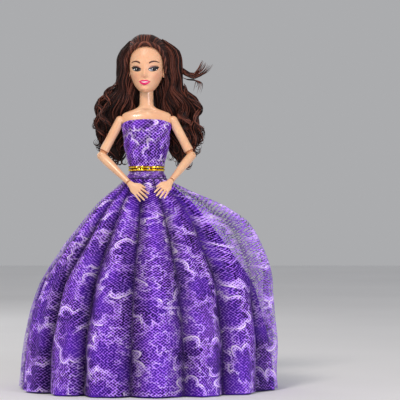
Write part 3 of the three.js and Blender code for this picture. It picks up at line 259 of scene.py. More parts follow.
# Nylon hair: dark brown strands running along each lock, lighter red-brown bands where the light catches them
def hairMaterial(name, light, middle, dark, stretch, toned=True):
    material, tree, shader = newMaterial(name)
    uv = addNode(tree, "TexCoord", {}, "UV")
    mapping = addNode(tree, "Mapping", {"Vector": uv, "Scale": stretch})
    strands = addNode(tree, "TexNoise", {"Vector": mapping, "Scale": 1.0, "Detail": 5.0, "Roughness": 0.62})
    shade = strands
    if toned:
        tone = addNode(tree, "Attribute", {}, "Fac", attribute_name="tone")
        shade = addNode(tree, "Math", {0: tone, 1: 0.24}, operation="MULTIPLY")
        shade = addNode(tree, "Math", {0: strands, 1: 0.8, 2: shade}, operation="MULTIPLY_ADD")
    stops = ((0.36, dark), (0.5, middle), (0.68, light))
    feed(tree, shader, {
        "Base Color": addNode(tree, "ValToRGB", {0: shade}, stops=stops),
        "Roughness": addNode(tree, "MapRange", {"Value": strands, "To Min": 0.28, "To Max": 0.5}),
        "Normal": addNode(tree, "Bump", {"Height": strands, "Strength": 0.75, "Distance": 0.0006}),
        "IOR": 1.5, "Anisotropic": 0.6, "Specular IOR Level": 0.25})
    return material


hairLocksMaterial = hairMaterial("nylon_hair_locks", "#8f5140", "#351812", "#0c0403", (46.0, 1.8, 1.0))
# A lighter copy of the hair for the roll: painted highlight
hairRollHighlightMaterial = hairMaterial("nylon_hair_roll_painted_highlight", "#9a5c49", "#4a241b", "#100605", (46.0, 1.8, 1.0))
# A darker copy of the hair for its depth behind the locks and for the scalp: painted shade
hairPaintedShadeMaterial = hairMaterial("nylon_hair_painted_shade", "#3a1c15", "#1e0e0b", "#0d0504", (170.0, 5.0, 1.0), False)


# Painted shade: the cloth's colour is darkened in the hollows of the folds and lightened on their crests, by a
# painted shade value kept on the sheet
def paintedFoldShade(tree, colour):
    fold = addNode(tree, "Attribute", {}, "Fac", attribute_name="fold")
    share = addNode(tree, "MapRange", {"Value": fold, "To Min": 0.1, "To Max": 1.25})
    return addNode(tree, "VectorMath", {0: colour, "Scale": share}, operation="SCALE")


# Satin: a fine twill whose highlight is stretched along the folds and, unless told not to, painted shade in the
# hollows of the folds
def satinMaterial(name, light, dark, size, paintsFoldShade=True):
    material, tree, shader = newMaterial(name)
    uv = addNode(tree, "TexCoord", {}, "UV")
    flat = addNode(tree, "Mapping", {"Vector": uv, "Scale": (*size, 1.0)})
    weave = addNode(tree, "TexWave", {"Vector": flat, "Scale": 0.9, "Distortion": 0.6, "Detail": 1.0}, "Fac",
                    wave_type="BANDS", bands_direction="DIAGONAL")
    coords = addNode(tree, "TexCoord", {}, "Object")
    cloud = addNode(tree, "TexNoise", {"Vector": coords, "Scale": 38.0, "Detail": 2.0})
    colour = addNode(tree, "ValToRGB", {0: cloud}, stops=((0.38, dark), (0.62, light)))
    feed(tree, shader, {
        "Base Color": paintedFoldShade(tree, colour) if paintsFoldShade else colour,
        "Normal": addNode(tree, "Bump", {"Height": weave, "Strength": 0.12, "Distance": 0.0002}),
        "Roughness": 0.34, "IOR": 1.4, "Anisotropic": 0.45, "Specular Tint": linear("#a77bff"),
        "Sheen Weight": 0.08, "Sheen Roughness": 0.3, "Sheen Tint": linear("#8f6cf0")})
    return material


skirtSize, bodiceSize = (310.0, 200.0), (112.0, 48.0)
satin = satinMaterial("satin_violet", "#5420b0", "#1e0a54", skirtSize)
satinBright = satinMaterial("satin_violet_bright", "#7c36e2", "#3c1690", bodiceSize)
satinTape = satinMaterial("satin_violet_tape", "#4a1a92", "#37137a", skirtSize, False)


# Lace: a net with holes of a millimetre, flowers with thin raised light outlines, and closer net round them
# Size of the cloth, size of a flower and pitch of the net in millimetres; the hole's share of the pitch, the
# breadth of the outlines and how light the whole is
def laceMaterial(name, size, flower, pitch, hole, wide, lift):
    material, tree, shader = newMaterial(name)
    uv = addNode(tree, "TexCoord", {}, "UV")
    flat = addNode(tree, "Mapping", {"Vector": uv, "Scale": (*size, 1.0)})
    warp = addNode(tree, "TexNoise", {"Vector": flat, "Scale": 0.03, "Detail": 1.0}, "Color",
                   noise_dimensions="2D")
    bent = addNode(tree, "VectorMath", {0: warp, 1: (flower * 0.6, flower * 0.6, 0.0), 2: flat},
                   operation="MULTIPLY_ADD")

    # Distance from the wavy outline of the nearest flower, less than 0 inside it
    def petals(scale, count, core, depth, phase):
        cells = {"Vector": bent, "Scale": 1.0 / scale, "Randomness": 0.8}
        centre = addNode(tree, "TexVoronoi", cells, "Position", voronoi_dimensions="2D")
        away = addNode(tree, "VectorMath", {0: bent, 1: centre}, operation="SUBTRACT")
        parts = addNode(tree, "SeparateXYZ", {0: away}).node.outputs
        turn = addNode(tree, "Math", {0: parts["Y"], 1: parts["X"]}, operation="ARCTAN2")
        turn = addNode(tree, "Math", {0: turn, 1: count / 2, 2: phase}, operation="MULTIPLY_ADD")
        wave = addNode(tree, "Math", {0: turn}, operation="COSINE")
        wave = addNode(tree, "Math", {0: wave}, operation="ABSOLUTE")
        reach = addNode(tree, "Math", {0: wave, 1: depth * scale, 2: core * scale}, operation="MULTIPLY_ADD")
        length = addNode(tree, "VectorMath", {0: away}, "Value", operation="LENGTH")
        return addNode(tree, "Math", {0: length, 1: reach}, operation="SUBTRACT")

    # A line along an outline, full up to one distance from it and gone at another
    def band(distance, full, gone):
        size = addNode(tree, "Math", {0: distance}, operation="ABSOLUTE")
        return addNode(tree, "MapRange", {"Value": size, "From Min": gone, "From Max": full}, **smoothly)

    big = petals(flower, 6, 0.28, 0.17, 0.0)
    small = petals(flower * 0.5, 5, 0.24, 0.2, 0.6)
    patch = addNode(tree, "TexNoise", {"Vector": flat, "Scale": 0.05, "Detail": 2.0}, noise_dimensions="2D")
    broken = addNode(tree, "MapRange", {"Value": patch, "From Min": 0.42, "From Max": 0.6}, **smoothly)
    heart = addNode(tree, "MapRange", {"Value": big, "From Min": -1.4 * wide, "From Max": -2.6 * wide},
                    **smoothly)
    outside = addNode(tree, "MapRange", {"Value": big, "From Min": 0.0, "From Max": 2.0}, **smoothly)

    inner = addNode(tree, "Math", {0: big, 1: 2.2 * wide}, operation="SUBTRACT")
    share = addNode(tree, "Math", {0: broken, 1: 0.9}, operation="MULTIPLY")
    cord = addNode(tree, "Math", {0: band(inner, 0.3, 0.8), 1: share}, operation="MULTIPLY")
    leaf = addNode(tree, "Math", {0: band(small, 0.7 * wide, 1.5 * wide), 1: outside}, operation="MULTIPLY")
    leaf = addNode(tree, "Math", {0: leaf, 1: 0.85}, operation="MULTIPLY")
    share = addNode(tree, "Math", {0: broken, 1: 0.5, 2: 0.5}, operation="MULTIPLY_ADD")
    edge = addNode(tree, "Math", {0: band(big, 1.8 * wide, 3.2 * wide), 1: share}, operation="MULTIPLY")
    dense = addNode(tree, "Math", {0: edge, 1: leaf}, operation="MAXIMUM", use_clamp=True)

    turned = {"Vector": flat, "Rotation": (0.0, 0.0, 0.785), "Scale": (1.0 / pitch,) * 3}
    cells = {"Vector": addNode(tree, "Mapping", turned), "Scale": 1.0, "Randomness": 0.3}
    net = addNode(tree, "TexVoronoi", cells, voronoi_dimensions="2D")
    wider = addNode(tree, "Math", {0: heart, 1: -0.03, 2: net}, operation="MULTIPLY_ADD")
    openNet = addNode(tree, "MapRange", {"Value": wider, "From Min": hole - 0.05, "From Max": hole + 0.05},
                      **smoothly)
    closeNet = addNode(tree, "MapRange", {"Value": net, "From Min": hole - 0.24, "From Max": hole - 0.1},
                       **smoothly)
    closeNet = addNode(tree, "Math", {0: dense, 1: closeNet}, operation="MULTIPLY")
    thread = addNode(tree, "Math", {0: openNet, 1: closeNet}, operation="MAXIMUM")

    tone = addNode(tree, "Math", {0: dense, 1: 0.42}, operation="MULTIPLY")
    tone = addNode(tree, "Math", {0: tone, 1: cord}, operation="MAXIMUM", use_clamp=True)
    tone = addNode(tree, "Math", {0: heart, 1: -0.12, 2: tone}, operation="MULTIPLY_ADD")
    glitter = addNode(tree, "SeparateXYZ", {0: net.node.outputs["Color"]})
    glitter = addNode(tree, "Math", {0: glitter, 1: 0.36, 2: lift}, operation="MULTIPLY_ADD")
    tone = addNode(tree, "Math", {0: tone, 1: glitter}, operation="ADD")
    colour = addNode(tree, "ValToRGB", {0: tone}, stops=(
        (0.0, "#7a4ccc"), (0.25, "#a461f2"), (0.68, "#c09af8"), (1.0, "#e6d2fc")))
    height = addNode(tree, "Math", {0: thread, 1: 0.5, 2: cord}, operation="MULTIPLY_ADD")
    feed(tree, shader, {
        "Base Color": paintedFoldShade(tree, colour),
        "Alpha": addNode(tree, "Math", {0: thread, 1: cord}, operation="MAXIMUM", use_clamp=True),
        "Normal": addNode(tree, "Bump", {"Height": height, "Strength": 0.6, "Distance": 0.0005}),
        "Roughness": 0.55, "IOR": 1.4, "Sheen Weight": 0.05, "Sheen Tint": linear("#b79dff")})
    return material


laceSize = (300.0, 205.0)
skirtLace = laceMaterial("lace_lilac_flowers", laceSize, flower=31.0, pitch=1.7, hole=0.45, wide=0.75,
                         lift=0.08)
bodiceLace = laceMaterial("lace_lilac_close", bodiceSize, flower=21.0, pitch=2.1, hole=0.42, wide=0.42,
                          lift=0.2)


# Foil ribbon: gold with painted highlights and painted shade across its small dents, which also scatter the
# highlight, and painted shade in the crease along its middle
def goldMaterial():
    material, tree, shader = newMaterial("foil_gold_ribbon")
    uv = addNode(tree, "TexCoord", {}, "UV")
    mapping = addNode(tree, "Mapping", {"Vector": uv, "Scale": (34.0, 2.2, 1.0)})
    dentsAndGlints = addNode(tree, "TexVoronoi", {"Vector": mapping, "Scale": 1.0, "Randomness": 1.0},
                    voronoi_dimensions="2D")
    # Painted highlight near the middle of each dent and painted shade towards its edge
    colour = addNode(tree, "ValToRGB", {0: dentsAndGlints}, stops=(
        (0.05, "#fff694"), (0.36, "#ffd828"), (0.6, "#e09a0c"), (0.88, "#6e4008")))
    # Painted shade: a brown line along the crease in the middle of the ribbon
    across = addNode(tree, "SeparateXYZ", {0: uv}, "Y")
    across = addNode(tree, "Math", {0: across, 1: 0.5}, operation="SUBTRACT")
    across = addNode(tree, "Math", {0: across}, operation="ABSOLUTE")
    crease = addNode(tree, "MapRange", {"Value": across, "From Min": 0.13, "From Max": 0.05}, **smoothly)
    shade = {0: crease, 6: colour, 7: linear("#5c3208")}
    feed(tree, shader, {
        "Base Color": addNode(tree, "Mix", shade, 2, data_type="RGBA"),
        "Normal": addNode(tree, "Bump", {"Height": dentsAndGlints, "Strength": 0.8, "Distance": 0.0006}),
        "Metallic": 1.0, "Roughness": 0.2})
    return material


gold = goldMaterial()


# Paint on the face, and the painted shadow line under the yoke: even colour broken by the brush
def paintMaterial(name, light, dark, roughness):
    material, tree, shader = newMaterial(name)
    coords = addNode(tree, "TexCoord", {}, "Object")
    mottle = addNode(tree, "TexNoise", {"Vector": coords, "Scale": 1500.0, "Detail": 2.0})
    feed(tree, shader, {
        "Base Color": addNode(tree, "ValToRGB", {0: mottle}, stops=((0.35, dark), (0.65, light))),
        "Normal": addNode(tree, "Bump", {"Height": mottle, "Strength": 0.05, "Distance": 0.0001}),
        "Roughness": roughness})
    return material


eyeWhite = paintMaterial("paint_eye_white", "#fbf8f6", "#f1ece9", 0.22)
irisPaint = paintMaterial("paint_iris_grey_brown", "#4c4447", "#2f292b", 0.15)
pupilPaint = paintMaterial("paint_black_gloss", "#120d0e", "#080506", 0.15)
lashPaint = paintMaterial("paint_lash_black", "#1c1112", "#0e0809", 0.35)
lidPaint = paintMaterial("paint_lid_rose_brown", "#d79a84", "#c88a74", 0.35)
browPaint = paintMaterial("paint_brow_brown", "#5a2c20", "#421d14", 0.5)
lipPaint = paintMaterial("paint_lips_pink_gloss", "#f02a70", "#de1a5e", 0.2)
teethPaint = paintMaterial("paint_teeth_white", "#ffffff", "#f4f2f2", 0.2)
# A dark line of painted shadow under the yoke's edge
shadowLinePaint = paintMaterial("paint_shadow_line_violet", "#241052", "#190a3d", 0.7)
print("materials made")


def rideOn(obj, body, slot, *nodes):
    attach(obj, body)
    if nodes:
        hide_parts(*nodes)


# Head

face = dict(eyeAcross=6.5, eyeHeight=261.8, eyeInner=3.5, eyeOuter=3.6, mouthHeight=251.1, lipHalf=4.8,
            smileHalf=3.3, browInner=3.6, browLength=7.9, browHeight=266.2)
ear = dict(across=13.9, back=0.7, height=259.4, size=3.1)

# Shares of the head's height, width, face depth and back depth from chin to crown
headShares = (
    (0, 0.135, 0.8, 0.36), (0.02, 0.19, 0.87, 0.44), (0.08, 0.272, 0.94, 0.58), (0.13, 0.332, 0.965, 0.67),
    (0.19, 0.378, 0.975, 0.75), (0.27, 0.433, 0.985, 0.85), (0.38, 0.478, 1, 0.94), (0.52, 0.5, 1, 1),
    (0.66, 0.49, 0.96, 0.99), (0.77, 0.44, 0.86, 0.94), (0.87, 0.36, 0.68, 0.8), (0.96, 0.21, 0.34, 0.5),
    (1, 0.06, 0.05, 0.14))
headRows = tabulate([[chin + headHeight * up, headWidth * wide, faceDepth * front, headBack * back]
                     for up, wide, front, back in headShares])

# Relief of the face: how far each form stands out, its place across and breadth, its place up and length
faceForms = (
    (1.5, 0, 1.6, 260.4, 4.6),  # bridge of the nose
    (2.5, 0, 1.75, 257.1, 2.0),  # tip of the nose
    (0.75, 2.1, 1.0, 256.1, 1.1),  # wings of the nose
    (-0.5, 0.9, 0.6, 255.1, 0.6),  # nostrils
    (-1.25, 6.5, 3.6, 262.2, 2.7),  # eye sockets
    (0.75, 6.5, 2.5, 261.8, 1.55),  # eyeballs
    (0.35, 6.5, 4.2, 268.2, 1.4),  # brows
    (1.0, 0, 3.9, 252.4, 1.0),  # upper lip
    (-0.25, 0, 0.689, 252.4, 1.0),  # dip in its middle
    (1.15, 0, 3.0, 250.0, 1.05),  # lower lip
    (-0.3, 0, 0.8, 253.9, 0.9),  # groove under the nose
    (-0.55, 0, 3.6, 247.9, 1.0),  # hollow under the lip
    (0.9, 0, 3.3, 245.3, 1.9),  # chin
    (0.7, 7.6, 3.4, 256.4, 3.6),  # cheeks
)


def headPoint(height, angle):
    halfWidth, front, back = (headRows(height, column) for column in (1, 2, 3))
    x = halfWidth * math.cos(angle)
    relief = sum(out * bell(abs(x) - across, wide) * bell(height - up, tall)
                 for out, across, wide, up, tall in faceForms)
    y = (back - front) / 2 + (back + front) / 2 * math.sin(angle)
    return Vector((x, y - relief * clamp(-math.sin(angle) * 1.4), height))


headMatrix = (Matrix.Translation((0, 0, neckPivot)) @ Matrix.Rotation(headTurn, 4, "Z")
              @ Matrix.Translation((0, 0, -neckPivot)))


def inHead(point):
    return (headMatrix @ Vector(point)) * mm


# A place on the front of the face, lifted off it
def onFace(x, height, lift):
    angle = -math.acos(clamp(x / headRows(height, 1), -0.999, 0.999))
    return inHead((x, headPoint(height, angle).y - lift, height))


# The face's vinyl, with a rose blush sprayed on the cheeks
def blushMaterial():
    material = skinVinyl.copy()
    material.name = "vinyl_skin_blush"
    tree = material.node_tree
    shader = tree.nodes["Principled BSDF"]
    ground = shader.inputs["Base Color"].links[0].from_socket
    coords = addNode(tree, "TexCoord", {}, "Object")
    parts = addNode(tree, "SeparateXYZ", {0: coords}).node.outputs
    side = addNode(tree, "Math", {0: parts["X"]}, operation="ABSOLUTE")
    spot = addNode(tree, "CombineXYZ", {"X": side, "Z": parts["Z"]})
    cheek = (8.6 * mm, 0.0, 256.0 * mm)
    far = addNode(tree, "VectorMath", {0: spot, 1: cheek}, "Value", operation="DISTANCE")
    rose = addNode(tree, "MapRange", {"Value": far, "From Min": 5.2 * mm, "From Max": 0.6 * mm}, **smoothly)
    front = addNode(tree, "MapRange", {
        "Value": parts["Y"], "From Min": -1.0 * mm, "From Max": -6.0 * mm, "To Max": 0.24}, **smoothly)
    share = addNode(tree, "Math", {0: rose, 1: front}, operation="MULTIPLY")
    shade = {0: share, 6: ground, 7: linear("#e07a62")}
    feed(tree, shader, {"Base Color": addNode(tree, "Mix", shade, 2, data_type="RGBA")})
    return material


def makeHead():
    bm = bmesh.new()

    # The front gets more of the mesh, and the underside of the chin draws in
    def place(u, v):
        angle = 2 * math.pi * u
        angle += 0.42 * math.cos(angle)
        point = headPoint(chin + headHeight * v, angle)
        pull = smooth01(v / 0.05)
        point.x *= 0.75 + 0.25 * pull
        point.y *= 0.9 + 0.1 * pull
        return inHead(point)

    gridInto(bm, 150, 130, place)
    bmesh.ops.remove_doubles(bm, verts=bm.verts, dist=1e-6)
    middles = {face: face.calc_center_median() for face in bm.faces}
    neckHole = [face for face, middle in middles.items() if middle.z < 0.2495 and middle.xy.length < 0.0061]
    bmesh.ops.delete(bm, geom=neckHole, context="FACES")
    rideOn(finishMesh(bm, "head_skin", blushMaterial()), "head", "skin_vinyl", "head")
    for name, sign in (("ear_left", 1), ("ear_right", -1)):
        def earPlace(u, v):
            angle, tilt = 2 * math.pi * u, math.pi * (v - 0.5)
            reach = ear["size"] * math.cos(tilt)
            rim = 1 + 0.12 * bell(v - 0.62, 0.16)
            x = ear["across"] + 1.35 * math.sin(tilt) - 0.9 * bell(math.cos(tilt), 0.5) * (v > 0.5)
            lobe = 1.0 - 0.28 * clamp(-math.sin(angle))
            return inHead((sign * x, ear["back"] + 0.62 * reach * math.cos(angle) * rim * lobe,
                           ear["height"] + 1.1 * reach * math.sin(angle) * rim))
        rideOn(gridMesh(name, skinVinyl, 36, 20, earPlace), "head", "skin_vinyl")


# A painted patch between two curves that lies on the face
def facePatch(name, material, left, right, lower, upper, lift, across=24, along=8):
    def place(u, v):
        x = left + (right - left) * u
        low = lower(x)
        return onFace(x, low + max(upper(x) - low, 0) * v, lift)
    rideOn(gridMesh(name, material, across, along, place, merge=0), "head", "skin_vinyl")


def arcBetween(left, right, ends, middle, lean):
    def height(x):
        t = clamp((x - left) / (right - left))
        return ends + (middle - ends) * (1 - abs(2 * t - 1) ** 2.2) + lean * (2 * t - 1)
    return height


# Short curved lashes that stand up from the lid's edge and lean outwards
def lashSpikes(name, sign, edge, low, high, count=13):
    bm = bmesh.new()
    for i in range(count):
        t = (i + 0.5) / count
        root = low + (high - low) * t
        outwards = t if sign > 0 else 1 - t
        lean = sign * (-0.35 + 1.5 * outwards) * 0.8

        def place(u, v):
            x = root + (u - 0.5) * 0.42 * (1 - v) ** 0.7
            return onFace(x + lean * v ** 1.4, edge(x) - 0.15 + (0.75 + 0.75 * outwards) * v, 0.17)
        gridInto(bm, 2, 5, place)
    rideOn(finishMesh(bm, name, lashPaint, merge=0), "head", "skin_vinyl")


def makeEye(name, sign):
    across, middle = face["eyeAcross"], face["eyeHeight"]
    outer = sign * (across + face["eyeOuter"])
    low, high = sorted((sign * (across - face["eyeInner"]), outer))
    upper = arcBetween(low, high, middle - 0.1, middle + 0.95, 0.3 * sign)
    lower = arcBetween(low, high, middle - 0.15, middle - 1.4, 0.3 * sign)
    facePatch(f"eye_white_{name}", eyeWhite, low, high, lower, upper, 0.05)
    for part, material, radius, x0, z0, lift in (
            ("ring", pupilPaint, 2.35, 0.3, 0.05, 0.08), ("iris", irisPaint, 1.9, 0.3, -0.15, 0.1),
            ("pupil", pupilPaint, 1.15, 0.3, 0.25, 0.12), ("glint", teethPaint, 0.32, -0.4, 0.3, 0.15)):
        centre = sign * across + x0

        def disc(x, turn):
            return middle + z0 + turn * math.sqrt(max(radius ** 2 - (x - centre) ** 2, 0))

        facePatch(f"eye_{part}_{name}", material, centre - radius, centre + radius,
                  lambda x: max(disc(x, -1), lower(x)), lambda x: min(disc(x, 1), upper(x)), lift, 18, 10)

    # The lashes' band runs on past the corner of the eye in a wing
    def beyond(x):
        return max(0.0, abs(x) - across - face["eyeOuter"])

    lashLow, lashHigh = min(low, outer + sign * 1.1), max(high, outer + sign * 1.1)

    def lashUpper(x):
        t = clamp((x - low) / (high - low))
        outwards = t if sign > 0 else 1 - t
        return upper(x) + 0.45 + 0.75 * outwards ** 1.4 + 0.5 * outwards + beyond(x) * 0.45

    facePatch(f"eye_lash_{name}", lashPaint, lashLow, lashHigh,
              lambda x: upper(x) - 0.35 + beyond(x) * 1.35, lashUpper, 0.16, 30, 4)
    lashSpikes(f"eye_lash_hairs_{name}", sign, lashUpper, low + 0.3, high + 0.33 * (sign > 0))
    facePatch(f"eye_lower_lash_{name}", lashPaint, low + 0.3, high,
              lambda x: lower(x) - 0.42, lambda x: lower(x) + 0.12, 0.1, 24, 2)
    lidTop = arcBetween(low, high, middle + 0.8, middle + 3.2, 0.3 * sign)
    facePatch(f"eye_lid_{name}", lidPaint, low + 0.3, high - 0.2, lambda x: upper(x) + 0.1, lidTop, 0.03)
    start, length = face["browInner"], face["browLength"]

    def brow(x, edge):
        t = clamp((abs(x) - start) / length)
        half = 0.62 * (1 - t) ** 0.45 * smooth01(t * 7 + 0.4) + 0.13
        return face["browHeight"] + 2.1 * math.sin(math.pi * min(t * 0.75 + 0.08, 1)) + edge * half

    low, high = sorted((sign * start, sign * (start + length)))
    facePatch(f"brow_{name}", browPaint, low, high, lambda x: brow(x, -1), lambda x: brow(x, 1), 0.07, 30, 4)


def makeMouth():
    middle, half, smileHalf = face["mouthHeight"] + 0.5, face["lipHalf"], face["smileHalf"]

    def top(x):
        return middle + 0.05 + 1.75 * (1 - (abs(x) / half) ** 1.5) - 0.5 * bell(x, 0.8)

    def parting(x):
        return middle + 0.2 * (x / half) ** 2

    def smile(x):
        return parting(x) - 0.75 * max(1 - (x / smileHalf) ** 2, 0)

    def bottom(x):
        return middle - 2.75 * (1 - (x / half) ** 2)

    facePatch("lip_upper", lipPaint, -half, half, parting, top, 0.1, 36, 6)
    facePatch("lip_lower", lipPaint, -half, half, bottom, smile, 0.1, 36, 6)
    facePatch("teeth", teethPaint, -smileHalf, smileHalf, smile, parting, 0.04, 30, 4)


makeHead()
makeEye("left", 1)
makeEye("right", -1)
makeMouth()
print("head made")


# Torso, shown at the neck and shoulders

torsoShape = dict(bottom=141, intoHead=4.6, halfWidth=20.5, collarBone=228.2, notch=227.6)


def makeTorso():
    def place(u, v):
        bottom = torsoShape["bottom"]
        height = bottom + (neckTop + torsoShape["intoHead"] - bottom) * v
        angle = 2 * math.pi * u
        point = trunkPoint(height, angle)
        facing = clamp(-math.sin(angle))
        side = abs(point.x)
        bone = 0.55 * bell(height - torsoShape["collarBone"] + 0.12 * side, 1.1) * smooth01((side - 2.5) / 3)
        notch = 0.6 * bell(height - torsoShape["notch"], 2.0) * bell(point.x, 2.0)
        point.y -= (bone - notch) * facing
        point.x = clamp(point.x, -torsoShape["halfWidth"], torsoShape["halfWidth"])
        return point * mm

    torso = gridMesh("torso_skin", bodyPlastic, 120, 150, place)
    bm = bmesh.new()
    bm.from_mesh(torso.data)
    closeHoles(bm)
    bmesh.ops.recalc_face_normals(bm, faces=bm.faces)
    bm.to_mesh(torso.data)
    bm.free()
    rideOn(torso, "torso", "body_plastic", "torso_front", "torso_back")


makeTorso()


# Arms

armPoses = {
    "left": dict(swing=5.9, raised=27.5, swivel=49, bend=68.8, palm=74, hand=10),
    "right": dict(swing=5.9, raised=27.4, swivel=68, bend=72.8, palm=90, hand=10),
}
limb = dict(hubAcross=21.8, upper=32.8, lower=35, elbowSeam=4.29, upperHalf=3.9, lowerHalf=3.75, dome=3.93,
            knuckle=3.7, pin=0.75, pinAcross=3.55)


def turn(degrees, axis):
    return Matrix.Rotation(math.radians(degrees), 4, axis)


def lowered(length):
    return Matrix.Translation((0, 0, -length))


def armFrames(side):
    sign = 1 if side == "left" else -1
    pose = armPoses[side]
    hub = Matrix.Translation((sign * limb["hubAcross"], 1, shoulder)) @ turn(-pose["swing"], "X")
    arm = hub @ turn(-sign * pose["raised"], "Y")
    swivel = arm @ lowered(limb["upper"]) @ turn(-sign * pose["swivel"], "Z")
    forearm = swivel @ turn(-pose["bend"], "X")
    hand = forearm @ lowered(limb["lower"]) @ turn(sign * pose["palm"], "Z")
    return sign, hub, arm, swivel, forearm, hand


# A limb from rows of distance down, half width and half depth, with ends rounded over a length
def limbMesh(name, material, matrix, rows, steps=60, roundStart=0.0, roundEnd=0.0):
    read = tabulate(rows)
    low, high = rows[0][0], rows[-1][0]

    def place(u, v):
        down = low + (high - low) * v
        shrink = 1.0
        if roundStart and down - low < roundStart:
            shrink = math.sqrt(max(1 - (1 - (down - low) / roundStart) ** 2, 0)) * 0.35 + 0.65
        if roundEnd and high - down < roundEnd:
            shrink = math.sqrt(max(1 - (1 - (high - down) / roundEnd) ** 2, 0)) * 0.3 + 0.7
        angle = 2 * math.pi * u
        wide, deep = read(down, 1) * shrink, read(down, 2) * shrink
        return (matrix @ Vector((wide * math.cos(angle), deep * math.sin(angle), -down))) * mm

    bm = bmesh.new()
    gridInto(bm, 48, steps, place)
    bmesh.ops.remove_doubles(bm, verts=bm.verts, dist=1e-6)
    closeHoles(bm)
    return finishMesh(bm, name, material)


def ringAt(name, material, matrix, radius, thickness, squeeze=1.0):
    def place(u, v):
        a, b = 2 * math.pi * u, 2 * math.pi * v
        reach = radius + thickness * math.cos(b)
        spot = Vector((reach * math.cos(a), squeeze * reach * math.sin(a), thickness * math.sin(b)))
        return (matrix @ spot) * mm
    return gridMesh(name, material, 48, 10, place)


def ballAt(name, material, matrix, radius):
    bm = bmesh.new()
    bmesh.ops.create_uvsphere(bm, u_segments=40, v_segments=24, radius=radius * mm)
    bm.transform(Matrix.LocRotScale(matrix.translation * mm, matrix.to_quaternion(), (1, 1, 1)))
    return finishMesh(bm, name, material)


# Half breadth and half thickness of the hand from the wrist down; for each finger its place across the palm,
# its share of the longest reach, its lean and its share of the thickness
palm, palmHalf, palmThick = 10.5, 4.4, 1.8
fingerReach, fingerRadius = 21, 0.95
palmRows = ((0, 2.4, 2.25), (3.6, 3.0, 1.85), (7.2, palmHalf, palmThick),
            (10.2, palmHalf * 0.98, palmThick * 0.8), (11.8, palmHalf * 0.7, 0.55))
fingers = ((0.78, 0.4, 0.16, 0.9), (0.27, 0.47, 0.05, 1), (-0.25, 0.45, -0.04, 1), (-0.74, 0.36, -0.16, 0.85))


# Hand: palm, fingers and thumb as tapering tubes, fused and smoothed
def makeHand(side, matrix, sign, bend):
    bm = bmesh.new()
    tilt = turn(bend, "X")

    def tube(points, radii):
        count = len(points) - 1

        def place(u, v):
            t = v * count
            i = min(int(t), count - 1)
            f = smooth01(t - i) * 0.35 + (t - i) * 0.65
            centre = points[i].lerp(points[i + 1], f)
            cap = min(v, 1 - v) * count
            rounding = math.sqrt(clamp(1 - (1 - min(cap / 0.35, 1)) ** 2)) + 0.02
            radius = (radii[i] + (radii[i + 1] - radii[i]) * f) * rounding
            a = 2 * math.pi * u
            x = centre.x + radius * math.cos(a)
            return tilt @ Vector((sign * -x, centre.y + radius * math.sin(a), centre.z))
        gridInto(bm, 16, 22, place)

    def palmPlace(u, v):
        down = 0.25 + (palm * 1.12 - 0.25) * v
        a = 2 * math.pi * u
        wide, deep = valueAt(palmRows, down, 1), valueAt(palmRows, down, 2)
        return tilt @ Vector((sign * -wide * math.cos(a), deep * math.sin(a), -down))

    gridInto(bm, 28, 20, palmPlace)
    tips = []
    for across, long, lean, share in fingers:
        radius, reach, x = fingerRadius * share, fingerReach * long, across * palmHalf
        tip = Vector((x + lean * reach, radius * 0.6, -palm - reach * 1.02))
        middle = Vector(((x + tip.x) / 2, -radius * 0.35, -palm - reach * 0.45))
        tube([Vector((x * 0.96, 0, -palm * 0.8)), middle, tip], [radius, radius * 1.04, radius * 0.78])
        tips.append((tip, middle, radius))
    thumb = ((0.35, 0, -0.3), (1.12, 0.35, -0.72), (1.42, 0.6, -1.3))
    tube([Vector((palmHalf * x, palmThick * y, palm * z)) for x, y, z in thumb], [1.08, 1.12, 0.85])
    bmesh.ops.remove_doubles(bm, verts=bm.verts, dist=1e-4)
    closeHoles(bm)
    for vert in bm.verts:
        vert.co = (matrix @ vert.co) * mm
    hand = finishMesh(bm, f"{side}_hand_skin", bodyPlastic, merge=0)
    fuse = hand.modifiers.new("fuse", "REMESH")
    fuse.mode = "VOXEL"
    fuse.voxel_size = 0.00024
    fuse.use_smooth_shade = True
    soften = hand.modifiers.new("soften", "SMOOTH")
    soften.factor = 0.5
    soften.iterations = 3
    bpy.context.view_layer.update()
    shape = bpy.data.meshes.new_from_object(hand.evaluated_get(bpy.context.evaluated_depsgraph_get()))
    hand.modifiers.clear()
    hand.data = shape
    for polygon in shape.polygons:
        polygon.use_smooth = True
    rideOn(hand, f"{side}_hand", "body_plastic", f"{side}_hand")
    for i, (tip, middle, radius) in enumerate(tips):
        def nailPlace(u, v):
            spot = middle.lerp(tip, 0.78 + 0.26 * v)
            a = math.radians(-90 + 95 * (u - 0.5))
            r = radius * (0.86 - 0.12 * v)
            local = Vector((sign * -(spot.x + r * math.cos(a)), spot.y + r * 1.02 * math.sin(a), spot.z))
            return (matrix @ (tilt @ local)) * mm
        nail = gridMesh(f"{side}_nail_{i}", nailPlastic, 8, 8, nailPlace, merge=0)
        rideOn(nail, f"{side}_hand", "body_plastic")


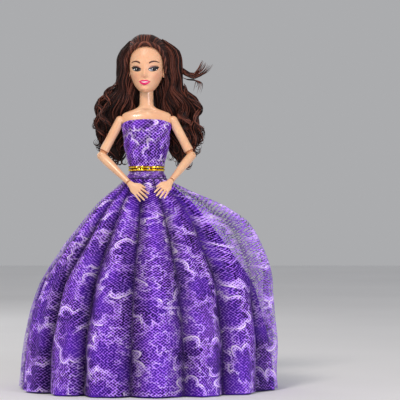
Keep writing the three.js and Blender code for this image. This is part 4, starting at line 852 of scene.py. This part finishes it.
def makeArm(side):
    sign, hub, arm, swivel, forearm, hand = armFrames(side)
    half, seam = limb["upperHalf"], limb["elbowSeam"]
    end = limb["upper"] - seam
    dome = ballAt(f"{side}_shoulder_dome", bodyPlastic, hub, limb["dome"])
    rideOn(dome, f"{side}_shoulder", "body_plastic", f"{side}_shoulder_hub")
    upper = limbMesh(f"{side}_upper_arm_skin", bodyPlastic, arm, [
        [-1.6, 3.3, 3.3], [0.4, half, half], [end * 0.3, half, half], [end * 0.65, half * 0.95, half * 0.95],
        [end - 0.5, half, half * 0.97], [end, half * 0.93, half * 0.9]], roundStart=2.6, roundEnd=0.8)
    bm = bmesh.new()
    bm.from_mesh(upper.data)
    bmesh.ops.bisect_plane(bm, geom=bm.verts[:] + bm.edges[:] + bm.faces[:], clear_outer=True,
                           plane_co=(hub @ Vector((sign * -0.9, 0, 0))) * mm,
                           plane_no=hub.to_3x3() @ Vector((-sign, 0, 0)))
    closeHoles(bm)
    bm.to_mesh(upper.data)
    bm.free()
    rideOn(upper, f"{side}_upper_arm", "body_plastic", f"{side}_upper_arm")
    ring = ringAt(f"{side}_elbow_seam", seamLine, arm @ lowered(end + 0.12), half * 0.9, 0.16)
    rideOn(ring, f"{side}_upper_arm", "joint_plastic")
    neck = limbMesh(f"{side}_elbow_disc", jointPlastic, swivel, [
        [-seam + 0.2, half * 0.82, half * 0.82], [-2.0, half * 0.7, half * 0.7]], steps=6)
    rideOn(neck, f"{side}_elbow", "joint_plastic")
    knuckle = ballAt(f"{side}_elbow_knuckle", bodyPlastic, forearm, limb["knuckle"])
    rideOn(knuckle, f"{side}_forearm", "body_plastic")
    half, end = limb["lowerHalf"], limb["lower"]
    lower = limbMesh(f"{side}_forearm_skin", bodyPlastic, forearm, [
        [0, half * 0.94, half * 0.94], [end * 0.2, half, half], [end * 0.5, half * 0.9, half * 0.88],
        [end * 0.85, 2.7, 2.5], [end - 0.3, 2.5, 2.3], [end, 2.38, 2.2]], roundEnd=0.4)
    rideOn(lower, f"{side}_forearm", "body_plastic", f"{side}_forearm")
    wrist = ringAt(f"{side}_wrist_seam", seamLine, forearm @ lowered(end + 0.05), 2.34, 0.13, 0.92)
    rideOn(wrist, f"{side}_forearm", "joint_plastic")
    for name, reach in (("outer", limb["pinAcross"]), ("inner", -limb["pinAcross"])):
        spot = forearm @ Matrix.Translation((reach, 0, 0)) @ turn(90, "Y")
        rideOn(ringAt(f"{side}_elbow_pin_{name}", seamLine, spot, limb["pin"], 0.14), f"{side}_forearm",
               "joint_plastic")
    makeHand(side, hand, sign, armPoses[side]["hand"])


makeArm("left")
makeArm("right")
print("arms made")


# Hair

# Breadth, depth and length of the hair. A side's rows are shares of them: the drop, the inner and the outer
# edge, the front and the back. Its locks start at turns from low to high round its outline
hair = dict(breadth=50, depth=20, length=106, wave=2.3, wavesDown=25.0, curled=0.7, curl=2.2)
hairSides = {
    "left": dict(top=0.022, end=1.0, sign=1, seed=3, low=-3.0, high=2.2, count=150, rows=tabulate([
        [0.02, 0.1, 0.26, 0.1, 0.5], [0.057, 0.1, 0.38, 0, 0.64], [0.113, 0.14, 0.53, -0.06, 0.8],
        [0.19, 0.2, 0.575, -0.06, 0.9], [0.31, 0.22, 0.57, 0.04, 0.94], [0.4, 0.16, 0.62, 0.16, 1],
        [0.48, 0.12, 0.8, 0.26, 1], [0.57, 0.12, 0.86, 0.36, 1], [0.7, 0.14, 0.85, 0.4, 0.96],
        [0.78, 0.22, 0.9, 0.42, 0.9], [0.86, 0.34, 0.8, 0.44, 0.82], [0.94, 0.46, 0.7, 0.48, 0.74],
        [1, 0.56, 0.64, 0.54, 0.64]])),
    "right": dict(top=0.032, end=0.97, sign=-1, seed=8, low=-3.0, high=2.2, count=146, rows=tabulate([
        [0.03, 0.1, 0.27, 0.1, 0.5], [0.057, 0.1, 0.32, 0, 0.64], [0.113, 0.14, 0.43, -0.06, 0.8],
        [0.19, 0.2, 0.49, -0.06, 0.9], [0.31, 0.22, 0.48, 0.04, 0.94], [0.4, 0.16, 0.54, 0.16, 1],
        [0.48, 0.12, 0.78, 0.26, 1], [0.57, 0.12, 0.84, 0.36, 1], [0.7, 0.14, 0.84, 0.4, 0.96],
        [0.78, 0.2, 0.8, 0.42, 0.9], [0.85, 0.3, 0.74, 0.44, 0.82], [0.92, 0.36, 0.6, 0.48, 0.74],
        [0.97, 0.42, 0.5, 0.54, 0.64]])),
    "back": dict(top=0.13, end=1.0, sign=1, seed=14, low=-0.4, high=3.54, count=84, rows=tabulate([
        [0.13, -0.3, 0.3, 0.4, 0.98], [0.25, -0.3, 0.3, 0.5, 1.06], [0.4, -0.3, 0.3, 0.42, 1.12],
        [0.55, -0.3, 0.3, 0.48, 1.14], [0.7, -0.3, 0.3, 0.56, 1.12], [0.84, -0.28, 0.28, 0.6, 1.06],
        [0.94, -0.22, 0.22, 0.66, 0.98], [1, -0.1, 0.1, 0.7, 0.86]])),
}


def massPoint(side, drop, angle, grow, shrink=1.0):
    shape = hairSides[side]
    inner, outer = (shape["rows"](drop, column) * hair["breadth"] for column in (1, 2))
    front, back = (shape["rows"](drop, column) * hair["depth"] for column in (3, 4))
    x = (inner + outer) / 2 + ((outer - inner) / 2 * shrink + grow) * math.cos(angle)
    y = (front + back) / 2 + ((back - front) / 2 * shrink + grow) * math.sin(angle)
    return Vector((shape["sign"] * x, y, hairTop - drop * hair["length"]))


# A lock: an oval strip tapering to its tip along a smooth path
def lockInto(bm, points, width, flat=0.45, sides=7, steps=26, outwards=None, tone=None):
    count = len(points) - 1

    def at(t):
        t = clamp(t, 0, count)
        i = min(int(t), count - 1)
        f = t - i
        p0, p1, p2, p3 = points[max(i - 1, 0)], points[i], points[i + 1], points[min(i + 2, count)]
        return 0.5 * (2 * p1 + (p2 - p0) * f + (2 * p0 - 5 * p1 + 4 * p2 - p3) * f * f
                      + (3 * p1 - p0 - 3 * p2 + p3) * f ** 3)

    rings = []
    for s in range(steps + 1):
        v = s / steps
        centre = at(v * count)
        way = at(v * count + 0.05) - at(v * count - 0.05)
        way = way.normalized() if way.length > 1e-9 else Vector((0, 0, -1))
        out = outwards(centre) if outwards else Vector((centre.x, centre.y - 2, 0))
        out = out - way * out.dot(way)
        out = out.normalized() if out.length > 1e-6 else Vector((0, 1, 0))
        root = math.sin(math.pi * clamp(v * 0.5 + 0.08, 0, 0.5)) ** 0.6
        reach = width * (root * (1 - clamp((v - 0.55) / 0.45) ** 1.6) + 0.03)
        rings.append((centre, out * reach * flat, way.cross(out) * reach))

    def place(u, v):
        centre, out, side = rings[round(v * steps)]
        a = 2 * math.pi * u
        return (centre + side * math.cos(a) + out * math.sin(a)) * mm

    start = random.random() * 7
    layer = bm.verts.layers.float.get("tone") or bm.verts.layers.float.new("tone")
    tone = random.random() ** 1.8 if tone is None else tone
    length = sum((points[i + 1] - points[i]).length for i in range(count)) / 30
    faces = gridInto(bm, sides, steps, place,
                     lambda u, v: (abs(2 * u - 1) * width * 0.16 + start, v * length + start))
    for face in faces:
        for vert in face.verts:
            vert[layer] = tone


# The hair's depth behind its locks, with shallow partings, in the darker copy of the hair that paints the shade
# there
def massMesh(side):
    low, end = hairSides[side]["top"], hairSides[side]["end"]

    def place(u, v):
        drop = end - (end - low) * v
        parted = 0.97 + 0.04 * math.cos(6 * 2 * math.pi * u + math.sin(22 * drop))
        parted *= 0.12 + 0.88 * smooth01((drop - low) / 0.05) ** 0.5
        return massPoint(side, drop, 2 * math.pi * u, -0.8, parted) * mm
    return gridMesh(f"hair_{side}_depth", hairPaintedShadeMaterial, 72, 70, place)


# Waves run on from lock to lock, and most ends turn outwards in a curl
def hangingLocks(side, steps=24):
    shape = hairSides[side]
    random.seed(shape["seed"])
    bm = bmesh.new()
    for i in range(shape["count"]):
        angle = shape["low"] + (shape["high"] - shape["low"]) * (i + random.random()) / shape["count"]
        start = shape["top"] + 0.03 * random.random()
        stop = shape["end"] * (0.62 + 0.38 * random.random() ** 0.6)
        phase = noise.noise(Vector((math.cos(angle) * 1.5, math.sin(angle) * 1.5, shape["seed"])))
        phase = 1.1 * angle + 1.6 * phase + random.uniform(-0.25, 0.25)
        size = hair["wave"] * (0.75 + 0.5 * random.random())
        lift = random.uniform(-0.9, 0.7)
        points = []
        for s in range(steps + 1):
            drop = start + (stop - start) * s / steps
            grown = smooth01((drop - 0.14) * 3.2)
            swing = hair["wavesDown"] * drop + phase + 1.5 * drop * math.sin(3 * angle)
            broad = max((shape["rows"](drop, 2) - shape["rows"](drop, 1)) * hair["breadth"] / 2, 4)
            a = angle + size / broad * grown * math.sin(swing)
            points.append(massPoint(side, drop, a, lift + 0.55 * size * grown * math.cos(swing)))
        if random.random() < hair["curled"]:
            x = shape["sign"] * (0.4 + math.cos(angle)) + random.uniform(-0.4, 0.4)
            out = Vector((x, math.sin(angle) * 0.5 + random.uniform(-0.3, 0.3), 0))
            if side == "back":
                out = Vector((random.uniform(-1, 1), 0.7, 0))
            out.normalize()
            curl = hair["curl"] * (1 + random.random())
            last = points[-1].copy()
            for s in range(1, 8):
                a = 0.62 * s
                points.append(last + out * curl * (1 - math.cos(a)) - Vector((0, 0, curl * math.sin(a))))
                curl *= 0.93
        lockInto(bm, points, 0.7 + 0.6 * random.random(), steps=44)
    return finishMesh(bm, f"hair_{side}_locks", hairLocksMaterial)


# Axes of the ringlets that leave the mass in front of the shoulders
ringlets = {
    "right": [[(26, 5, 252), (31, 1, 243), (35, 0, 233), (34, 1, 222), (31, 3, 212)],
              [(30, 7, 246), (37, 4, 236), (41, 4, 226), (39, 6, 214), (36, 8, 203)]],
    "left": [[(29, 6, 250), (37, 3, 240), (42, 3, 230), (43, 4, 218), (46, 7, 206)],
             [(27, 4, 232), (31, 1, 222), (33, 2, 212), (31, 5, 200)]],
}


def ringletLocks(side, strands=7, turns=2.2, steps=39):
    random.seed(31 + len(side))
    bm = bmesh.new()
    for axis in ringlets[side]:
        spots = [Vector((hairSides[side]["sign"] * x, y, z)) for x, y, z in axis]
        for strand in range(strands):
            phase = random.uniform(-0.5, 0.5)
            wide = 3.6 + random.uniform(-0.8, 1.2)
            points = []
            for s in range(steps + 1):
                t = s / steps
                at = t * (len(spots) - 1)
                i = min(int(at), len(spots) - 2)
                reach = wide * math.sin(math.pi * min(0.12 + t * 0.75, 1)) ** 0.7
                a = 2 * math.pi * turns * t + phase
                around = Vector((reach * math.cos(a), reach * 0.6 * math.sin(a), 1.2 * math.sin(a + strand)))
                points.append(spots[i].lerp(spots[i + 1], at - i) + around)
            lockInto(bm, points, 0.95 + 0.4 * random.random(), steps=80)
    return finishMesh(bm, f"hair_{side}_ringlets", hairLocksMaterial)


def blendHair(obj):
    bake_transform(obj)


# Strands that fly away at the doll's left, thrown up in a fan along a path, and a few that hang under them: how
# far out each of these ends and how far it dips
flyPath = [(22, 10, 266.5), (28, 10.2, 263.6), (32.5, 10, 259.8), (38, 9.4, 257.6), (43, 8.8, 259),
           (47.5, 8.2, 263), (50, 8, 267.5)]
hangEnds = ((44, 5), (46, 8), (42, 3), (45, 6.5), (43, 8), (40, 6))


def makeFlyaway(strands=32):
    random.seed(21)
    bm = bmesh.new()
    for i in range(strands):
        fan = (i / (strands - 1) - 0.5) * 2
        points = []
        for k, (x, y, z) in enumerate(flyPath):
            wide = smooth01((k - 2) / 4) * fan
            x += random.uniform(-0.5, 0.5) - 4.6 * wide
            y += random.uniform(-1.2, 1.2) * (0.4 + 0.2 * k)
            z += random.uniform(-0.6, 0.6) + 2.2 * fan * (1 - 0.12 * k) + 3.0 * abs(wide) * (fan > 0)
            points.append(Vector((x, y, z)))
        lockInto(bm, points[:random.choice((6, 7, 7))], 0.55 + 0.4 * random.random())
    for x, dip in hangEnds:
        path = ((26, 9, 258), (33, 10, 255), (40, 9.5, 254), (x, 9, 251), (x - 1.5, 9, 251 - dip))
        lockInto(bm, [Vector(spot) for spot in path], 0.8)
    rideOn(finishMesh(bm, "hair_flyaway", hairLocksMaterial), "head", "hair_fibre")


def makeHair():
    for side in hairSides:
        depth = massMesh(side)
        blendHair(depth)
        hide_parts(f"hair_{side}_lengths")
        blendHair(hangingLocks(side))
        if side in ringlets:
            blendHair(ringletLocks(side))
    makeFlyaway()


# The teased hair is a ball over the back of the skull, whose middle is at a share of the head's height
headMiddle = Vector((0, 2.0, 262.0))
teased = dict(radius=16, share=0.66, deep=0.95, tall=1.08)


# The skull and the teased hair over it grown by an offset, met along a direction from the middle of the head
def shellAlong(direction, grow):
    middle, half = (chin + crown) / 2, (crown - chin) / 2
    puff = teased["radius"] - 3 + grow
    puffHeight = chin + headHeight * teased["share"]

    def inside(point):
        y, z = (point.y - 2) / teased["deep"], (point.z - puffHeight) / teased["tall"]
        if (point.x - 2) ** 2 + y ** 2 + z ** 2 < puff ** 2:
            return True
        height = middle + (point.z - middle) * half / (half + grow)
        if not chin < height < crown:
            return False
        halfWidth, front, back = (headRows(height, column) + grow for column in (1, 2, 3))
        return (point.x / halfWidth) ** 2 + ((point.y - (back - front) / 2) / ((back + front) / 2)) ** 2 < 1

    low, high = 0.0, 60.0
    for _ in range(22):
        reach = (low + high) / 2
        if inside(headMiddle + direction * reach):
            low = reach
        else:
            high = reach
    return headMiddle + direction * low


hairline = dict(centre=chin + headHeight * 0.42, top=chin + headHeight * 0.865, half=headWidth * 0.5,
                square=2.6)


# A place on the rounded outline of the hairline, grown by an offset
def hairlinePoint(angle, grow):
    across, up = (math.copysign(abs(part) ** (2 / hairline["square"]), part)
                  for part in (math.cos(angle), math.sin(angle)))
    centre = hairline["centre"]
    return (hairline["half"] + grow) * across, centre + (hairline["top"] - centre + grow) * up


# Crown: the scalp's hair, open at the face and the nape, in the darker copy of the hair: painted shade under
# the combed locks
def makeCap():
    centre, top, half, square = hairline["centre"], hairline["top"], hairline["half"], hairline["square"]
    bm = bmesh.new()

    def place(u, v):
        a, b = 2 * math.pi * u, math.pi * (v - 0.5)
        direction = Vector((math.cos(a) * math.cos(b), math.sin(a) * math.cos(b), math.sin(b)))
        return inHead(shellAlong(direction, 1.5))

    gridInto(bm, 150, 120, place)
    bmesh.ops.remove_doubles(bm, verts=bm.verts, dist=1e-6)
    gone = []
    for face in bm.faces:
        point = headMatrix.inverted() @ (face.calc_center_median() / mm)
        across, up = abs(point.x / (half + 0.6)), abs((point.z - centre) / (top + 0.6 - centre))
        atFace = point.y < -faceDepth * 0.1 and across ** square + up ** square < 1
        atNape = point.z < chin + headHeight * 0.3 and point.y < headBack * 0.1 or point.z < 247
        if atFace or atNape:
            gone.append(face)
    bmesh.ops.delete(bm, geom=gone, context="FACES")
    rideOn(finishMesh(bm, "hair_cap", hairPaintedShadeMaterial), "head", "hair_fibre", "hair_crown")


# Locks combed back over the scalp from the hairline
def makeCombedBack(count=230, steps=12):
    random.seed(5)
    bm = bmesh.new()
    for i in range(count):
        around = math.pi * (-0.02 + 1.04 * (i + random.random() * 0.8) / count)
        side, up = math.cos(around), max(math.sin(around), 0)
        x, z = hairlinePoint(around, 0.9 + 0.8 * random.random())
        start = (Vector((x, -faceDepth * (0.12 + 0.62 * up ** 2), z)) - headMiddle).normalized()
        stop = Vector((0.7 * side + random.uniform(-0.12, 0.12), 0.8, -0.3 - 0.45 * abs(side))).normalized()
        puff = 0.9 * up ** 2 + 0.5
        points = []
        for s in range(steps + 1):
            t = s / steps
            way = start.lerp(stop, t)
            way.z += 0.6 * math.sin(math.pi * t) * max(up, 0.12)
            way.x += 0.34 * side * math.sin(math.pi * t)
            grow = 2.3 + puff * math.sin(math.pi * min(t * 1.2, 1)) + 0.35 * math.sin(9 * t + 5 * side)
            points.append(headMatrix @ shellAlong(way.normalized(), grow))
        lockInto(bm, points, 0.75 + random.random() * 0.45, flat=0.5, steps=30,
                 outwards=lambda p: p - headMiddle)
    rideOn(finishMesh(bm, "hair_combed_back", hairLocksMaterial), "head", "hair_fibre")


# Twisted roll along the hairline: four strands wound round each other, in a lighter copy of the hair
def makeRoll(steps=60):
    random.seed(11)
    bm = bmesh.new()
    # The strands are lighter and darker in turn: painted light and shade of the twist; the lighter copy is a
    # painted highlight
    strandLightAndShade = (0.8, 0.25, 0.6, 0.15)
    for strand, tone in enumerate(strandLightAndShade):
        points = []
        for s in range(steps + 1):
            share = -0.02 + 1.04 * s / steps
            a = math.pi * share
            up = max(math.sin(a), 0)
            x, z = hairlinePoint(a, 1.5)
            middle = Vector((x, -faceDepth * (0.2 + 0.56 * up ** 2), z))
            outwards = Vector((math.cos(a), -0.25, math.sin(a))).normalized()
            size = 1.35 * (0.62 + 0.38 * up)
            twist = 2 * math.pi * (2.6 * abs(share - 0.5) * 2 + strand / len(strandLightAndShade))
            wound = outwards * size * math.cos(twist) + Vector((0, -size * math.sin(twist), 0))
            points.append(headMatrix @ (middle + wound))
        lockInto(bm, points, 1.15, flat=0.9, sides=10, steps=120, outwards=lambda p: p - Vector((0, 0, 262)),
                 tone=tone)
    rideOn(finishMesh(bm, "hair_front_roll", hairRollHighlightMaterial), "head", "hair_fibre")


makeHair()
makeCap()
makeCombedBack()
makeRoll()
print("hair made")


# Gown

gown = dict(hemHalfWidth=100.5, hemHalfDepth=77, folds=15, foldDepth=10, gathers=60, gatherDepth=0.5,
            ripples=30, rippleDepth=0.75, creaseDepth=1.5, fineFolds=19, fineDepth=0.35, billow=32,
            bodiceDip=4.28, halfWidth=20.6, beltHeight=4.2)
yokeTop, yokeBottom, bodiceTop = waist - 2.1, waist - 9.3, bust + 10.2
sideAtYoke = trunkPoint(yokeBottom, 0).x + 1.4
depthAtYoke = trunkPoint(yokeBottom, math.pi / 2).y + 1.4

# At each share of the height, shares of the hem's reach at the sides, in front and behind
skirtRows = tabulate([
    [0, 1, 1, 1], [0.2, 0.965, 0.893, 0.92], [0.33, 0.908, 0.79, 0.85], [0.5, 0.81, 0.62, 0.7],
    [0.64, 0.629, 0.43, 0.54], [0.78, 0.421, 0.15, 0.32], [0.89, 0.24, 0.02, 0.16],
    [0.965, 0.07, 0.004, 0.05], [1, 0, 0, 0]])

# Shares of the lace's billow and of the depth of the folds
billowRows = tabulate([
    [0, 0], [0.05, 0], [0.2, 0.12], [0.45, 0.36], [0.66, 0.84], [0.79, 1], [0.87, 0.74], [0.94, 0.3], [1, 0]])
foldRows = tabulate([[0, 1], [0.3, 0.86], [0.58, 0.64], [0.8, 0.4], [0.93, 0.18], [1, 0.05]])


def skirtReach(up, column):
    side = sideAtYoke + (gown["hemHalfWidth"] - sideAtYoke) * skirtRows(up, 1)
    depth = depthAtYoke + (gown["hemHalfDepth"] - depthAtYoke) * skirtRows(up, column)
    return side, depth


# Turn round the skirt with the slow sway of the folds, and the drift that it comes from
def swayOf(height, turn):
    drift = noise.noise(Vector((math.cos(turn) * 1.7, math.sin(turn) * 1.7, height * 0.008)))
    return turn + 0.05 * drift * math.cos(turn) ** 2 * smooth01((1 - height / yokeBottom) * 3), drift


def skirtPoint(height, turn, offset, billow, fine):
    up = height / yokeBottom
    down = 1 - up
    swayed, drift = swayOf(height, turn)
    angle = turn + 0.06 * (math.sin(4 * turn) + math.cos(3 * turn))
    side, depth = skirtReach(up, 2 if math.sin(angle) < 0 else 3)
    crest = abs(math.sin(gown["folds"] / 2 * swayed)) ** 0.8 - 0.6
    fold = gown["foldDepth"] * crest * (1 + 0.22 * math.cos(3 * turn)) * foldRows(up, 1)
    gather = math.cos(gown["gathers"] * turn + 4 * drift) * bell(down, 0.16) * smooth01(down * 14)
    ripple = math.cos(gown["ripples"] * swayed + 3 * drift + 1.3) * smooth01(down * 3)
    crease = noise.noise(Vector((math.cos(turn) * 8, math.sin(turn) * 8, height * 0.03))) * smooth01(down * 4)
    small = gather * gown["gatherDepth"] + ripple * gown["rippleDepth"] + crease * gown["creaseDepth"]
    fineFold = gown["fineDepth"] * math.cos(gown["fineFolds"] * turn + fine * 9) * smooth01(down * 4)
    reach = fold + small + fineFold + offset
    stand = billow * billowRows(up, 1) * max(0.0, math.cos(angle)) ** 3
    spot = Vector(((side + reach + stand) * math.cos(angle), (depth + reach) * math.sin(angle), height))
    # The second value is painted shade, dark in the hollows of the folds and light on their crests
    return spot, clamp(0.64 + 0.9 * crest + 0.08 * small) ** 1.25


# Length of the cloth from the hem up to a height, and its breadth there, as shares of the lace's flat size
def slantTable(steps=80):
    rows, gone, before = [], 0.0, None
    for i in range(steps + 1):
        up = i / steps
        side, depth = skirtReach(up, 2)
        if before is not None:
            gone += math.hypot(yokeBottom / steps, side - before)
        before = side
        breadth = math.pi * math.sqrt((side ** 2 + depth ** 2) / 2)
        rows.append([up * yokeBottom, gone / laceSize[1], breadth / laceSize[0]])
    return tabulate(rows)


slant = slantTable()


# Keeps the painted shade of each point on the sheet
def keepPaintedShade(obj, shades):
    obj.data.attributes.new("fold", "FLOAT", "POINT").data.foreach_set("value", shades)


# Half a skirt: offset from the folds' middle, billow to the side, phase of the fine folds, level of the painted
# shade
def skirtHalf(name, material, side, low, high, offset, billow, fine, ground):
    start = -math.pi / 2 if side == "left" else math.pi / 2
    pitch = 2 * math.pi / gown["folds"]
    shades = []

    def heightAt(v):
        return low + (high - low) * (1 - (1 - v) ** 1.15)

    def place(u, v):
        point, shade = skirtPoint(heightAt(v), start + math.pi * u, offset, billow, fine)
        shades.append(shade * ground)
        return point * mm

    # Each fold shows the middle of its own breadth of cloth, and the rest is tucked into the hollows
    def uvPlace(u, v):
        height = heightAt(v)
        swayed = swayOf(height, start + math.pi * u)[0] - (2 * math.pi if side == "right" else 0)
        middle = (math.floor(swayed / pitch) + 0.5) * pitch
        return (middle + (swayed - middle) * slant(height, 2)) / math.pi, slant(height, 1)

    obj = gridMesh(name, material, 300, 150, place, uvPlace, merge=0)
    keepPaintedShade(obj, shades)
    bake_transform(obj)
    return obj


def makeSkirts():
    for side in ("left", "right"):
        # The satin under the lace takes a lower level of painted shade: the shade under the lace, seen through
        # its holes
        under = skirtHalf(f"satin_skirt_{side}", satin, side, low=0.4, high=yokeBottom + 0.4, offset=0.4,
                          billow=0, fine=0.0, ground=0.82)
        over = skirtHalf(f"lace_overskirt_{side}", skirtLace, side, low=1.4, high=yokeBottom + 0.6,
                         offset=2.3, billow=gown["billow"], fine=0.35, ground=1)
        if side == "left":
            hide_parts("satin_skirt", "skirt_hem")
            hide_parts("lace_overskirt")


# A sheet stretched round the trunk with small wrinkles, a little fuller at its middle than at its edges, with
# the shade of its wrinkles painted into its colour around a level
def fittedSheet(name, material, low, high, offset, wrinkle, puff, dip=0.0, steps=60, ground=0.72):
    shades = []

    def place(u, v):
        angle = 2 * math.pi * u
        top = high - dip * (0.5 + 0.5 * math.sin(angle) + 0.62 * math.cos(angle) ** 4)
        height = low + (top - low) * v
        wave = noise.noise(Vector((math.cos(angle) * 4, math.sin(angle) * 4, height * 0.16)))
        pull = math.sin(9 * angle - height * 0.55 + 4 * wave) * 0.6 + wave
        # Painted shade of the wrinkles
        shades.append(clamp(ground + 0.38 * pull))
        point = trunkPoint(height, angle, offset + wrinkle * pull + puff * bell(v - 0.36, 0.27))
        point.x = clamp(point.x, -gown["halfWidth"], gown["halfWidth"])
        return point * mm

    obj = gridMesh(name, material, 200, steps, place, merge=0)
    keepPaintedShade(obj, shades)
    return obj


def makeBodice():
    dip = gown["bodiceDip"]
    # The satin under the lace gets a low level of painted shade, the shade under the lace seen through its
    # holes
    base = fittedSheet("bodice_satin", satinBright, yokeTop, bodiceTop, offset=0.75, wrinkle=0.1, puff=0.9,
                       dip=dip, ground=0.3)
    rideOn(base, "torso", "satin", "bodice")
    lace = fittedSheet("bodice_lace", bodiceLace, yokeTop, bodiceTop, offset=1.25, wrinkle=0.4, puff=1.0,
                       dip=dip)
    rideOn(lace, "torso", "lace")
    # The yoke's satin under its lace gets the same low level of painted shade
    yoke = fittedSheet("yoke_satin", satin, yokeBottom, yokeTop, offset=0.8, wrinkle=0.1, puff=1.1, steps=16,
                       ground=0.3)
    rideOn(yoke, "torso", "satin", "yoke")
    yokeLace = fittedSheet("yoke_lace", bodiceLace, yokeBottom, yokeTop, offset=1.25, wrinkle=0.3, puff=1.3,
                           steps=16)
    rideOn(yokeLace, "torso", "lace")


def bandMesh(name, material, low, high, offset, profile, steps):
    def place(u, v):
        angle = 2 * math.pi * u
        height = low + (high - low) * v
        crumple = noise.noise(Vector((math.cos(angle) * 9, math.sin(angle) * 9, height))) * 0.14
        return trunkPoint(height, angle, offset + profile(v) + crumple) * mm
    return gridMesh(name, material, 220, steps, place)


# Two ridges run round the belt, and under the yoke's edge one small dark roll is a painted shadow line
def makeTrim():
    def ridges(v):
        return 0.55 * abs(math.sin(2 * math.pi * v)) ** 0.6 - 0.25 * bell(v - 0.5, 0.08)

    belt = bandMesh("gold_belt", gold, yokeTop, yokeTop + gown["beltHeight"], 1.7, ridges, 24)
    rideOn(belt, "torso", "gold_ribbon", "belt")
    seam = bandMesh("yoke_seam_painted_shadow", shadowLinePaint, yokeBottom + 0.3, yokeBottom + 1.3, 2.2,
                    lambda v: 0.5 * math.sin(math.pi * v), 8)
    rideOn(seam, "torso", "satin")


makeSkirts()
makeBodice()
makeTrim()
print("gown made")


# Solids of the frame that show as they are

for name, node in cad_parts.items():
    if node.hide_render:
        continue
    if name.endswith("shoe"):
        material = shoePlastic
    elif name.endswith(("pin", "peg", "hub")):
        material = jointPlastic
    elif name == "back_closure":
        material = satinTape
    else:
        material = bodyPlastic
    node.data.materials.clear()
    node.data.materials.append(material)


# Floor, light and camera

studio = dict(
    world="#f2f3f6", worldStrength=0.46, aim=(0, 0, 0.15), lens=175, camera=(0.044, -1.6, 0.155),
    lamps={
        "key": dict(place=(-0.45, -1.08, 1.32), size=0.35, power=13.0, colour="#fff6ee"),
        "fill": dict(place=(0.95, -1.2, 0.42), size=0.5, power=7.2, colour="#f8f4ff"),
        "rim": dict(place=(-0.6, 0.9, 0.6), size=0.6, power=1.5, colour="#ffffff"),
    })


def floorMaterial():
    material, tree, shader = newMaterial("floor_matt_pale")
    coords = addNode(tree, "TexCoord", {}, "Object")
    cloud = addNode(tree, "TexNoise", {"Vector": coords, "Scale": 3.0, "Detail": 3.0})
    colour = addNode(tree, "ValToRGB", {0: cloud}, stops=((0.3, "#e9e9ea"), (0.7, "#efeff0")))
    feed(tree, shader, {"Base Color": colour, "Roughness": 0.85})
    return material


def makeStage():
    bm = bmesh.new()
    bmesh.ops.create_grid(bm, x_segments=2, y_segments=2, size=3)
    floor = finishMesh(bm, "floor", floorMaterial(), merge=0)
    floor.location.z = -0.0002
    scene = bpy.context.scene
    scene.world = bpy.data.worlds.new("studio")
    scene.world.use_nodes = True
    background = scene.world.node_tree.nodes["Background"]
    background.inputs["Color"].default_value = linear(studio["world"])
    background.inputs["Strength"].default_value = studio["worldStrength"]
    for name, shape in studio["lamps"].items():
        data = bpy.data.lights.new(name, "AREA")
        data.size = shape["size"]
        data.energy = shape["power"]
        data.color = linear(shape["colour"])[:3]
        lamp = bpy.data.objects.new(name, data)
        lamp.location = shape["place"]
        ray = Vector(studio["aim"]) - Vector(shape["place"])
        lamp.rotation_euler = ray.to_track_quat("-Z", "Y").to_euler()
        scene.collection.objects.link(lamp)
    data = bpy.data.cameras.new("camera")
    data.lens = studio["lens"]
    data.sensor_width = 36
    camera = bpy.data.objects.new("camera", data)
    camera.location = studio["camera"]
    camera.rotation_euler = (math.radians(90), 0, 0)
    scene.collection.objects.link(camera)
    scene.camera = camera
    scene.view_settings.view_transform = "Standard"


makeStage()
print("stage made")
